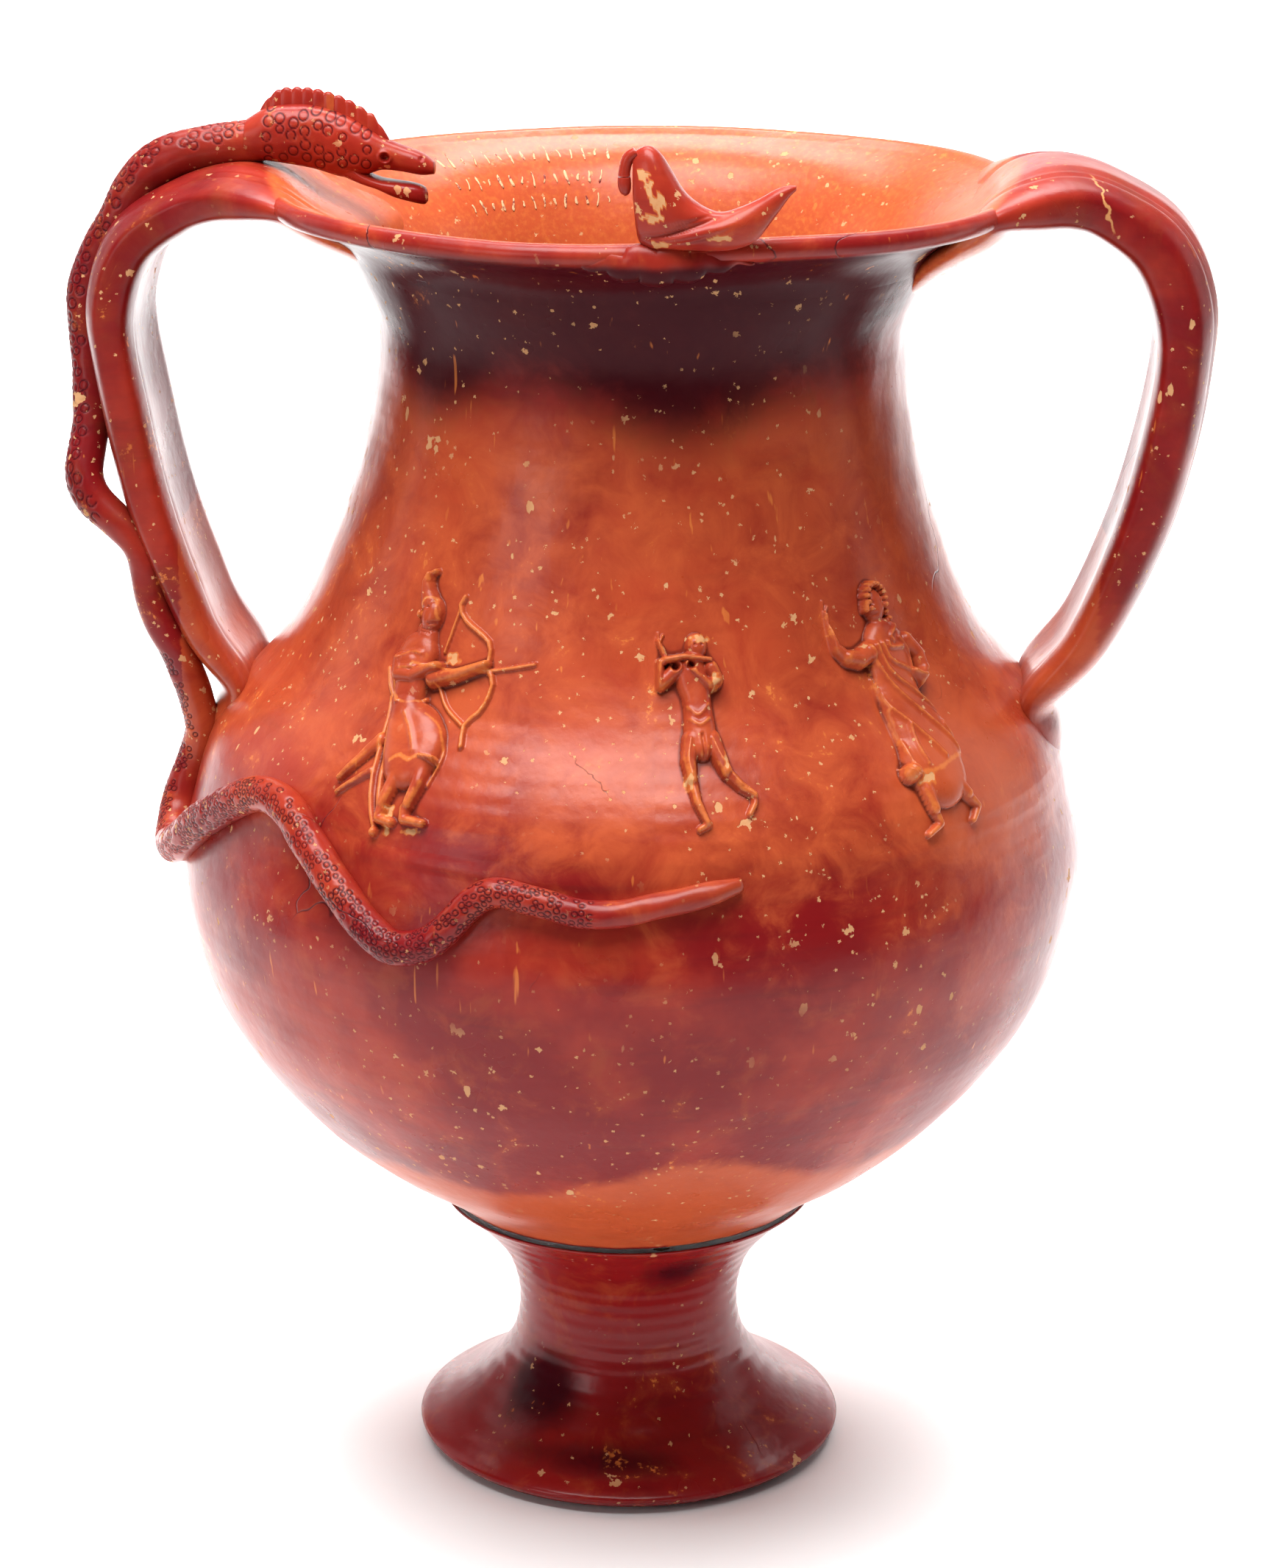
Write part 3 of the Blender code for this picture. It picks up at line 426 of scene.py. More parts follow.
class Clay:
    """Heights in mm of soft clay on a patch of wall, at (across, up) shares of the figure's height."""

    def __init__(self, figure, degrees, z):
        self.tall = figure["height"] / MM
        a = np.radians(degrees - figure["angle"]) * wall_radius(z) / MM
        u = (z - figure["toes"]) / MM
        self.a, self.u = np.broadcast_arrays(a / self.tall, u / self.tall)
        self.height = np.zeros(self.a.shape)
        self.worn = np.zeros(self.a.shape)

    def distance(self, spots, radii):
        """Distance to a polyline as a share of its radius in mm, which may change along it."""
        spots = np.asarray(spots, float)
        radii = np.broadcast_to(np.asarray(radii, float), len(spots))
        best = np.full(self.a.shape, 9.0)
        for p, q, r0, r1 in zip(spots[:-1], spots[1:], radii[:-1], radii[1:]):
            along = q - p
            t = ((self.a - p[0]) * along[0] + (self.u - p[1]) * along[1]) / (along @ along)
            t = np.clip(t, 0, 1)
            gap = np.hypot(self.a - p[0] - t * along[0], self.u - p[1] - t * along[1]) * self.tall
            best = np.minimum(best, gap / (r0 + t * (r1 - r0)))
        return best

    def add(self, share, rise, power=2.2, soft=0.35):
        """Join a form whose edge is where share is 1; soft is how many mm of slip fill the crease."""
        form = rise * np.clip(1 - share**power, 0, 1) ** 0.5
        gap = np.abs(self.height - form)
        fill = np.where(form > 0, np.clip(soft - gap, 0, None) ** 2 / (4 * soft), 0)
        self.height = np.maximum(self.height, form) + fill

    def roll(self, spots, radius, end=None, rise=None, power=2.2):
        radii = np.linspace(radius, radius if end is None else end, len(spots))
        self.add(self.distance(spots, radii), 1.25 * radius if rise is None else rise, power)

    def band(self, rows, rise, power=3.4):
        """A low body through (across, up, half width) rows."""
        rows = np.asarray(rows, float)
        rows = path_through(np.column_stack([rows[:, :2], np.zeros(len(rows)), rows[:, 2]]), 24)
        self.add(self.distance(rows[:, :2], rows[:, 3] * self.tall), rise, power)

    def mass(self, across, up, half_across, half_up, rise, turn=0.0, power=2.4):
        c, s = math.cos(math.radians(turn)), math.sin(math.radians(turn))
        da, du = (self.a - across) * self.tall, (self.u - up) * self.tall
        share = np.hypot((c * da + s * du) / half_across, (c * du - s * da) / half_up)
        self.add(share, rise, power)

    def fold(self, spots, width, rise):
        """A ridge laid over what is there."""
        ridge = np.exp(-(self.distance(flat_path(spots), width) ** 2) * 1.6)
        self.height = self.height + rise * ridge
        self.worn = np.maximum(self.worn, 0.55 * ridge)

    def groove(self, spots, width, depth):
        line = np.exp(-(self.distance(spots, width) ** 2) * 1.6)
        self.height = self.height - depth * line * (self.height > 0.3 * depth)

    def cord(self, spots, radius=0.7, worn=0.85):
        share = self.distance(flat_path(spots), radius)
        self.add(share, 1.25 * radius, 2.0, 0.2)
        self.worn = np.maximum(self.worn, worn * np.clip(1.15 - share, 0, 1))

    def pit(self, across, up, radius, depth):
        share = np.hypot(self.a - across, self.u - up) * self.tall / radius
        self.height = self.height - depth * np.exp(-(share**4))

    def wear(self, across, up, half_across, half_up, amount=1.0):
        da, du = (self.a - across) * self.tall / half_across, (self.u - up) * self.tall / half_up
        rough = 0.35 * np.sin(self.a * 190 + 3 * self.u) + 0.35 * np.sin(self.u * 170 - 40 * self.a)
        self.worn = np.maximum(self.worn, amount * ease(1.6 - np.hypot(da, du) - 0.6 * rough))


def archer(clay):
    """A standing archer in a belted tunic and tall cap, drawing a bow towards the right."""
    clay.roll([(-0.157, 0.724), (-0.141, 0.663)], 3.1, 3.3, 2.3)
    clay.mass(-0.143, 0.793, 3.3, 4.5, 3.0, -4)
    clay.roll([(-0.174, 0.843), (-0.193, 0.881), (-0.203, 0.921), (-0.196, 0.958)], 3.0, 1.0, 2.7)
    clay.roll([(-0.194, 0.959), (-0.173, 0.976)], 1.0, 0.8, 1.9)
    cap_edge = [(-0.193, 0.769), (-0.193, 0.817), (-0.171, 0.859), (-0.138, 0.864), (-0.118, 0.845)]
    clay.cord(cap_edge, 0.55, 0.9)
    clay.cord([(-0.118, 0.845), (-0.111, 0.819), (-0.102, 0.794), (-0.097, 0.783)], 0.5, 0.8)
    clay.mass(-0.209, 0.789, 1.0, 1.5, 2.2)
    torso = [(-0.173, 0.619, 0.105), (-0.169, 0.562, 0.100), (-0.160, 0.505, 0.085), (-0.152, 0.438, 0.078)]
    clay.band(torso, 2.9)
    clay.mass(-0.195, 0.579, 5.2, 4.2, 3.7, 15)
    skirt = [(-0.136, 0.404, 0.072), (-0.104, 0.358, 0.098), (-0.053, 0.308, 0.132), (-0.014, 0.266, 0.142)]
    clay.band(skirt, 3.3, 3.0)
    clay.roll([(-0.034, 0.213), (-0.047, 0.137), (-0.057, 0.063)], 2.7, 1.6, 2.5)
    clay.roll([(0.064, 0.235), (0.080, 0.161), (0.071, 0.075)], 2.8, 1.5, 2.6)
    clay.roll([(-0.058, 0.045), (-0.058, 0.007), (0.011, -0.001)], 1.7, 1.2, 2.1)
    clay.roll([(0.061, 0.061), (0.069, 0.022), (0.166, 0.017)], 1.7, 1.1, 2.1)
    clay.roll([(-0.231, 0.580), (-0.220, 0.529), (-0.144, 0.531), (-0.038, 0.590)], 2.9, 1.6, 4.0)
    clay.roll([(-0.051, 0.540), (0.067, 0.575), (0.190, 0.631)], 2.2, 1.3, 3.0)
    clay.fold([(-0.231, 0.591), (-0.169, 0.628), (-0.123, 0.630)], 0.7, 0.35)
    clay.fold([(-0.206, 0.554), (-0.132, 0.568), (-0.055, 0.593)], 0.7, 0.30)
    clay.fold([(-0.106, 0.384), (-0.042, 0.323), (0.014, 0.256)], 1.0, 0.35)
    hem = [(-0.084, 0.209), (-0.039, 0.230), (0.010, 0.221), (0.055, 0.243), (0.115, 0.248)]
    clay.cord(hem, 0.75)
    for k in range(7):
        clay.mass(0.054 + 0.011 * k, 0.241, 0.55, 0.7, 3.9)
    clay.cord([(-0.011, 0.400), (0.062, 0.369), (0.104, 0.323), (0.133, 0.263), (0.121, 0.158)], 0.5, 0.7)
    clay.cord([(-0.195, 0.428), (-0.121, 0.424), (-0.062, 0.456)], 0.8, 0.6)
    clay.mass(-0.169, 0.419, 1.4, 1.3, 3.6)
    bow = [(0.003, 0.893), (-0.010, 0.846), (0.040, 0.793), (0.097, 0.766), (0.175, 0.719), (0.191, 0.659),
           (0.197, 0.612), (0.239, 0.566), (0.225, 0.459), (0.172, 0.392), (0.196, 0.313)]
    clay.cord(bow, 0.80)
    clay.cord([(-0.010, 0.846), (-0.028, 0.739), (-0.039, 0.657)], 0.55, 0.8)
    clay.cord([(-0.023, 0.525), (0.051, 0.446), (0.156, 0.389)], 0.60, 0.8)
    clay.cord([(-0.150, 0.585), (0.150, 0.600), (0.480, 0.672)], 0.62)
    clay.cord([(0.430, 0.690), (0.490, 0.678), (0.442, 0.648)], 0.55)
    front_strip = [(-0.315, 0.545), (-0.281, 0.485), (-0.220, 0.426), (-0.203, 0.384), (-0.160, 0.272),
                   (-0.126, 0.160), (-0.081, 0.050)]
    clay.cord(front_strip, 0.85)
    clay.cord([(-0.283, 0.533), (-0.235, 0.471), (-0.176, 0.426)], 0.85)
    back_strip = [(-0.249, 0.438), (-0.226, 0.377), (-0.201, 0.263), (-0.172, 0.150), (-0.122, 0.041),
                  (-0.069, -0.048)]
    clay.cord(back_strip, 0.75)
    clay.mass(-0.069, -0.050, 1.3, 1.5, 1.9)
    clay.roll([(-0.211, 0.281), (-0.283, 0.189), (-0.342, 0.114)], 1.7, 0.7, 1.8)
    clay.roll([(-0.194, 0.169), (-0.274, 0.111), (-0.334, 0.064)], 1.1, 0.6, 1.2)
    clay.cord([(-0.205, 0.304), (-0.263, 0.233), (-0.307, 0.197)], 0.5, 0.6)
    clay.pit(-0.150, 0.822, 0.5, 0.45)
    clay.groove([(-0.131, 0.756), (-0.105, 0.765)], 0.4, 0.45)
    for k in range(9):
        clay.pit(-0.164 + 0.012 * (k % 5), 0.730 - 0.012 * (k // 5), 0.35, 0.35)
    clay.wear(0.009, 0.637, 2.0, 1.4)
    clay.wear(-0.020, 0.041, 1.0, 1.5)
    clay.wear(-0.013, -0.034, 1.1, 1.2)
    clay.wear(0.107, -0.021, 2.3, 0.9)


def nude(clay):
    """A small bare figure with its forearms crossed before its chest and its hands raised."""
    clay.mass(0.010, 0.862, 2.9, 3.5, 2.6)
    clay.roll([(0.008, 0.800), (0.000, 0.740)], 2.0, 2.6, 2.0)
    trunk = [(-0.012, 0.780, 0.072), (-0.015, 0.715, 0.098), (-0.004, 0.620, 0.080), (0.002, 0.530, 0.078),
             (0.002, 0.450, 0.086), (0.004, 0.390, 0.070)]
    clay.band(trunk, 2.9, 2.6)
    clay.roll([(-0.050, 0.410), (-0.075, 0.320), (-0.070, 0.235)], 2.5, 1.6, 2.7)
    clay.roll([(-0.070, 0.240), (-0.052, 0.140), (-0.008, 0.050)], 1.6, 0.9, 1.9)
    clay.roll([(0.000, 0.045), (-0.050, 0.022)], 1.0, 0.8, 1.3)
    clay.roll([(0.060, 0.410), (0.095, 0.320), (0.120, 0.265)], 2.4, 1.7, 2.6)
    clay.roll([(0.118, 0.268), (0.190, 0.200), (0.262, 0.155)], 1.6, 0.9, 1.9)
    clay.roll([(0.262, 0.155), (0.258, 0.120), (0.226, 0.078)], 1.0, 0.8, 1.3)
    clay.roll([(-0.095, 0.760), (-0.170, 0.700), (-0.190, 0.680)], 2.3, 1.7, 3.0)
    clay.roll([(-0.195, 0.690), (-0.190, 0.780), (-0.155, 0.800)], 1.5, 1.2, 3.2)
    clay.roll([(-0.155, 0.800), (-0.170, 0.850), (-0.195, 0.895)], 0.9, 0.7, 1.9)
    clay.roll([(0.075, 0.750), (0.105, 0.690), (0.060, 0.668)], 2.2, 1.8, 3.6)
    clay.roll([(0.060, 0.668), (0.000, 0.720), (-0.045, 0.775)], 1.7, 1.1, 3.9)
    clay.roll([(-0.160, 0.798), (-0.060, 0.812), (0.070, 0.790)], 1.1, 0.9, 3.7)
    for tip in ((-0.215, 0.925), (-0.190, 0.935), (-0.165, 0.925)):
        clay.cord([(-0.188, 0.880), tip], 0.42, 0.6)
    clay.fold([(-0.060, 0.560), (-0.010, 0.520), (0.050, 0.570)], 0.7, 0.30)
    clay.fold([(-0.055, 0.500), (-0.005, 0.470), (0.050, 0.500)], 0.7, 0.30)
    clay.fold([(-0.060, 0.405), (-0.080, 0.320), (-0.070, 0.250)], 0.5, 0.30)
    clay.fold([(0.055, 0.405), (0.100, 0.310), (0.190, 0.200)], 0.5, 0.30)
    clay.groove([(0.004, 0.420), (0.010, 0.330)], 0.5, 0.6)
    clay.pit(-0.110, 0.765, 1.0, 2.0)
    clay.pit(-0.030, 0.768, 1.0, 2.0)
    clay.pit(-0.002, 0.872, 0.40, 0.40)
    clay.pit(0.032, 0.870, 0.40, 0.40)
    clay.wear(0.030, 0.900, 2.6, 1.0)
    clay.wear(-0.085, 0.225, 1.2, 1.6)
    clay.wear(0.090, 0.680, 1.0, 2.0)
    clay.wear(0.115, 0.300, 0.7, 2.0)


def draped(clay):
    """A striding figure in a mantle, one arm raised before it and the other on its hip."""
    clay.roll([(0.020, 0.880), (0.030, 0.790)], 2.2, 2.7, 2.0)
    clay.mass(0.022, 0.945, 3.4, 4.9, 3.0, 4)
    mantle = [(0.035, 0.800, 0.085), (0.035, 0.750, 0.128), (0.022, 0.640, 0.122), (0.010, 0.540, 0.128),
              (0.020, 0.450, 0.145), (0.030, 0.350, 0.165), (0.010, 0.275, 0.178)]
    clay.band(mantle, 3.0)
    clay.roll([(-0.050, 0.765), (-0.150, 0.735), (-0.215, 0.752)], 2.9, 2.2, 2.9)
    clay.roll([(-0.215, 0.752), (-0.262, 0.805), (-0.280, 0.900)], 2.1, 1.3, 2.3)
    clay.roll([(-0.280, 0.900), (-0.272, 0.950)], 1.5, 1.2, 1.8)
    for tip in ((-0.300, 0.985), (-0.280, 1.005), (-0.258, 1.010), (-0.236, 0.985)):
        clay.cord([(-0.272, 0.945), tip], 0.45, 0.6)
    clay.roll([(0.150, 0.765), (0.200, 0.690), (0.195, 0.620)], 2.4, 2.2, 3.6)
    clay.roll([(0.195, 0.620), (0.150, 0.585), (0.110, 0.620)], 2.1, 1.6, 3.8)
    clay.roll([(-0.090, 0.270), (-0.112, 0.190), (-0.105, 0.110)], 2.5, 1.6, 2.5)
    clay.roll([(-0.105, 0.115), (-0.085, 0.050)], 1.6, 1.0, 1.8)
    clay.roll([(-0.080, 0.045), (-0.160, 0.012)], 1.2, 0.9, 1.5)
    clay.roll([(0.085, 0.290), (0.080, 0.200), (0.130, 0.130)], 2.3, 1.6, 2.4)
    clay.roll([(0.130, 0.130), (0.182, 0.068)], 1.6, 1.0, 1.8)
    clay.roll([(0.186, 0.062), (0.135, 0.014)], 1.2, 0.9, 1.5)
    sweep = [(-0.090, 0.775), (-0.050, 0.600), (0.060, 0.440), (0.190, 0.275)]
    for step in range(5):
        shift = 0.034 * step
        pleat = [(x + shift * (1 - 0.35 * k), z + 0.05 * step * k) for k, (x, z) in enumerate(sweep)]
        clay.fold(pleat[: 4 - step // 3], 0.75, 0.65)
    clay.fold([(-0.110, 0.640), (-0.105, 0.520), (-0.030, 0.400), (0.050, 0.285)], 0.8, 0.6)
    clay.fold([(-0.115, 0.500), (-0.130, 0.390), (-0.140, 0.290)], 0.8, 0.6)
    clay.fold([(-0.060, 0.420), (-0.075, 0.340), (-0.070, 0.275)], 0.8, 0.5)
    clay.fold([(0.160, 0.520), (0.185, 0.430), (0.150, 0.390), (0.190, 0.340)], 0.7, 0.6)
    clay.fold([(0.090, 0.780), (0.140, 0.700), (0.120, 0.640)], 0.8, 0.6)
    hem = [(-0.165, 0.262), (-0.090, 0.250), (-0.020, 0.246), (0.060, 0.262), (0.180, 0.276)]
    clay.cord(hem, 0.9, 0.7)
    clay.mass(-0.158, 0.262, 3.1, 2.2, 3.4, 10)
    for k in range(3):
        clay.fold([(-0.195 + 0.03 * k, 0.290), (-0.160 + 0.02 * k, 0.245)], 0.5, 0.45)
    for k in range(11):
        a = math.radians(205 - 23 * k)
        clay.mass(0.030 + 0.055 * math.cos(a), 0.965 + 0.072 * math.sin(a), 1.0, 1.0, 3.1)
    for k in range(4):
        clay.mass(0.090 + 0.012 * k, 0.905 - 0.035 * k, 0.9, 1.0, 2.2)
    clay.pit(-0.010, 0.955, 0.5, 0.45)
    clay.groove([(-0.030, 0.905), (0.004, 0.905)], 0.4, 0.40)
    clay.roll([(-0.036, 0.955), (-0.040, 0.930)], 0.6, 0.8, 2.6)
    clay.wear(-0.100, 0.225, 2.2, 1.2)
    clay.wear(0.195, 0.300, 1.0, 1.4)


def blurred(grid, reach):
    """Grid averaged over squares, twice, each side 2 * reach + 1 cells."""
    for _ in range(2):
        for axis in (0, 1):
            total = sum(np.roll(grid, k, axis=axis) for k in range(-reach, reach + 1))
            grid = total / (2 * reach + 1)
    return grid


def figured_panel(name, figure, model, slip):
    """Fine grid of (angle, height) over one panel: the wall's point lifted by the relief's height there."""
    columns = int(math.radians(np.ptp(figure["turn"])) * PANEL_RADIUS / FINE)
    rows = int(np.ptp(figure["rise"]) * PANEL_SLANT / FINE)
    degrees = np.linspace(*figure["turn"], columns)[None, :]
    z = np.linspace(*figure["rise"], rows)[:, None]
    clay = Clay(figure, degrees, z)
    model(clay)
    edge = ease(np.minimum(z - figure["rise"][0], figure["rise"][1] - z) / (2 * MM))
    edge = edge * ease(np.minimum(degrees - figure["turn"][0], figure["turn"][1] - degrees) / 0.9)
    near = clay.height - blurred(clay.height, 3)
    broad = clay.height - blurred(clay.height, 9)
    # The relief's raised ridges are paler: rubbed wear, partly a painted highlight.
    ridge = np.clip((near + 0.12 * broad - 0.16) / 0.55, 0, 0.60)
    # Painted shade in the relief's hollows and creases.
    crease = 0.55 * ease((-0.6 * near - 0.5 * broad - 0.14) / 0.60)
    worn = np.maximum(clay.worn, ridge)
    points = on_wall(degrees, z, clay.height * MM * RELIEF_RISE * edge)
    obj, used = sheet_mesh(name, points)
    slipped(obj, slip, (worn * edge).reshape(-1)[used], (crease * edge).reshape(-1)[used])


def lines_with(values, edges, step):
    """Evenly spaced grid lines with the panels' edges among them and nothing crowding an edge."""
    edges = np.array(sorted(set(edges)))
    clear = np.abs(values[:, None] - edges).min(axis=1) > 0.3 * step
    return np.sort(np.concatenate([values[clear], edges]))


def outer_wall(slip):
    """The wall from the seat to under the rim, with the panels' cells left out."""
    turn_edges = [a for p in PANELS for a in p["turn"]]
    rise_edges = [z for p in PANELS for z in p["rise"]]
    turns = lines_with(np.arange(-180, 180, TURN_STEP), turn_edges, TURN_STEP)
    rises = lines_with(np.arange(SEAT_Z, WALL_TOP, ROW_STEP), rise_edges, ROW_STEP)
    points = on_wall(turns[None, :], rises[:, None])
    mid_turn = (turns + np.append(turns[1:], 180)) / 2
    mid_rise = (rises[:-1] + rises[1:]) / 2
    keep = np.ones((len(mid_rise), len(mid_turn)), bool)
    for p in PANELS:
        inside_turn = (mid_turn > p["turn"][0]) & (mid_turn < p["turn"][1])
        inside_rise = (mid_rise > p["rise"][0]) & (mid_rise < p["rise"][1])
        keep[np.ix_(inside_rise, inside_turn)] = False
    obj, _ = sheet_mesh("outer_wall", points, wrap=True, keep=keep)
    slipped(obj, slip)
    return turns, rises[-1]


def neck_and_lip(slip, turns, start_z):
    """From under the rim, round the rolled lip, down the inside to the bottom of the bowl."""
    r, z = LIP / 2, RIM_Z - LIP / 2
    roll = np.radians(np.linspace(-75, 150, 12))
    lip = np.column_stack([RIM_RADIUS - r + r * np.cos(roll), z + r * np.sin(roll)])
    start = wall_radius(start_z)
    under = [(start, start_z), (start + 1.4 * MM, start_z + 4.0 * MM), *UNDER_LIP]
    throat = (NECK_Z, NECK_RADIUS - WALL)
    flare = [(r, z) for z, r in between(throat, (RIM_Z, RIM_RADIUS - LIP), MOUTH_FLARE)[::-1]]
    down = np.linspace(NECK_Z, SEAT_Z + 0.004, 64)
    slope = np.interp(down, PROFILE_Z, PROFILE_SLOPE)
    inside = np.column_stack([wall_radius(down) - WALL * np.sqrt(1 + slope**2), down])
    inside[:, 0] = np.maximum(inside[:, 0], 0.02)
    turn = np.radians(np.linspace(20, 90, 8))
    floor = np.column_stack([inside[-1, 0] * np.cos(turn), inside[-1, 1] - 0.008 * np.sin(turn)])
    rows = np.vstack([under, lip, flare, inside, floor])
    profile = path_through(np.column_stack([rows, np.zeros(len(rows))]), 250)
    profile[0, :2] = under[0]
    profile[-1, 0] = 0.0
    a = np.radians(turns)[None, :]
    radius, height = profile[:, 0][:, None], profile[:, 1][:, None]
    height = height + lip_drop(turns[None, :], height)
    radius = radius + hand_made(turns[None, :], np.minimum(height, RIM_Z)) * (radius > 0.01)
    points = lean(drawn_out(around(radius, a, height)))
    points[0] = on_wall(turns, np.full(len(turns), start_z))
    obj, used = sheet_mesh("neck_lip_inside", points, wrap=True)
    past_lip = np.cumsum(np.gradient(profile[:, 1]) < 0) > 0
    mouth = past_lip * ease((profile[:, 1] - 0.24) / 0.06)
    mouth = np.broadcast_to(mouth[:, None], points.shape[:2]).reshape(-1)[used]
    slipped(obj, slip, mouth=mouth)


# Strap handles


def strap_route(count, flare, sag=0.0, drop=0.0):
    """Rows of (x, z, half width, thickness share, wrap) down a +X strap's middle, from neck to root."""
    span = STRAP_TOP_Z - STRAP_ROOT_Z
    rim_x = RIM_RADIUS + RIM_PULL - 0.0035
    bow = STRAP_REACH - rim_x
    fan = FAN_WIDTH / 2
    half = STRAP_WIDTH / 2

    def spot(across, down):
        return rim_x + across * bow, STRAP_ROOT_Z + down * span

    def on_neck(shade_below_rim, out):
        z = RIM_Z - shade_below_rim
        return wall_radius(z) + rim_pull(z) + out, z

    root = [(wall_radius(z), z) for z in (STRAP_ROOT_Z - 0.001, STRAP_ROOT_Z - 0.010, STRAP_ROOT_Z - 0.019)]
    rows = [
        (*on_neck(0.0290, -0.0032), fan * 0.42, 0.16, 1.0),
        (*on_neck(0.0175, flare - 0.0016), fan * 0.72, 0.60, 1.0),
        (rim_x - 0.0072 + 0.5 * flare, STRAP_TOP_Z - 0.0068, fan * 0.93, 0.70, 1.0),
        (rim_x + 0.0010, STRAP_TOP_Z - 0.0004, fan * 0.95, 0.76, 0.9),
        (*spot(0.157, 1.006), (fan + half) / 2 + 0.001, 0.96, 0.5),
        (*spot(0.33, 1.006), half + 0.0035, 0.98, 0.2),
        (*spot(0.522, 0.985), half, 0.97, 0.0),
        (*spot(0.818, 0.915), half, 1.08, 0.0),
        (*spot(0.977, 0.800), half, 1.10, 0.0),
        (*spot(1.00, 0.688), half, 1.01, 0.0),
        (*spot(0.943, 0.536), half, 1.01, 0.0),
        (*spot(0.794, 0.337), half, 0.97, 0.0),
        (*spot(0.545, 0.129), half, 0.87, 0.35),
        (root[0][0] + 0.0015, root[0][1] + 0.001, half * 0.98, 0.68, 1.0),
        (root[1][0] - 0.0005, root[1][1], half * 0.80, 0.40, 1.0),
        (root[2][0] - 0.0016, root[2][1], half * 0.40, 0.14, 1.0),
    ]
    route = np.array(rows)
    padded = np.column_stack([route[:, 0], route[:, 1], np.zeros(len(route)), route[:, 2:]])
    route = smoothed(path_through(padded, count), count // 22)[:, [0, 1, 3, 4, 5]]
    share = np.linspace(0, 1, count)
    route[:, 0] -= sag * ease((share - 0.33) / 0.24) * ease((1 - share) / 0.24)
    route[:, 1] -= drop * ease((share - 0.14) / 0.12) * ease((0.62 - share) / 0.22)
    return route


def strap_frame(route):
    along = unit(np.gradient(route[:, :2], axis=0))
    return np.column_stack([-along[:, 1], along[:, 0]])


STRAP_ROWS = 260
STRAP_SIDES = 96

# Lines drawn along the straps: place across, width and depth in mm
STRAP_LINES = (
    (-0.62, 0.040, 0.55),
    (-0.48, 0.060, 0.80),
    (-0.10, 0.050, 0.60),
    (0.06, 0.060, 0.80),
    (0.50, 0.060, 0.80),
)


def strap(name, side, thickness, bends, slip):
    """Rounded-box sections, ribbed outside and channelled inside, carried down the strap's route."""
    route = strap_route(STRAP_ROWS, *bends)
    x, z, half, share, wrap = (column[:, None] for column in route.T)
    c, s = round_about(STRAP_SIDES)
    across = half * squared(c, 0.60)
    out = thickness * share / 2 * squared(s, 0.38 + 0.50 * wrap)
    place = across / half
    outer = ease(out / (0.25 * thickness * share))
    inner = ease(-out / (0.25 * thickness * share))
    wide = half / (STRAP_WIDTH / 2)
    lines = sum(depth * np.exp(-(((place - at) * wide / spread) ** 2)) for at, spread, depth in STRAP_LINES)
    hollow = 1.9 * np.clip(1 - (place / 0.66) ** 2, 0, 1) + 0.7 * np.exp(-(((place + 0.5) / 0.06) ** 2))
    down = np.linspace(0, 1, STRAP_ROWS)[:, None]
    seen = ease((down - 0.05) / 0.08) * ease((0.93 - down) / 0.08)
    out = np.where(out > 0, out * (1.12 - 0.42 * np.abs(place) ** 3), out)
    out = out - MM * lines * outer * seen * 1.1 + MM * hollow * inner * seen
    out = out + 0.18 * MM * np.sin(z * 95 + 2 * place) * outer
    normal = strap_frame(route)
    round_body = np.sqrt(np.maximum(x**2 - across**2, 0)) - x
    px = x + normal[:, :1] * out + wrap * round_body
    pz = z + normal[:, 1:] * out
    points = lean(np.stack([side * px, across, pz], axis=-1))
    if side < 0:
        points = points[:, ::-1]
    obj, _ = sheet_mesh(name, points, wrap=True)
    close_ends(obj)
    places = vertices(obj)
    inward = np.hypot(places[:, 0] - AXIS_LEAN, places[:, 1])
    slipped(obj, slip, mouth=ease((0.1055 - inward) / 0.004) * (places[:, 2] > 0.345))


# Serpent

SNAKE_BENDS = (SNAKE_FLARE, SNAKE_STRAP_SAG, SNAKE_STRAP_DROP)


def serpent_spot(degrees, z, lift):
    """Point and outward direction on the upright wall."""
    a = math.radians(degrees)
    out = np.array([math.sin(a), -math.cos(a), 0.0])
    return np.concatenate([out * (float(wall_radius(z)) + lift) + (0, 0, z), out])


def strap_spot(share, across, lift):
    """Point and outward direction on the outer face of the serpent's strap, a share of the way down."""
    route = strap_route(60, *SNAKE_BENDS)
    normal = strap_frame(route)
    steps = np.linspace(0, 1, len(route))
    x, z, nx, nz = (np.interp(share, steps, column) for column in (*route[:, :2].T, *normal.T))
    rise = SNAKE_THICKNESS / 2 + lift
    return np.array([-(x + nx * rise), across, z + nz * rise, -nx, 0.0, nz])


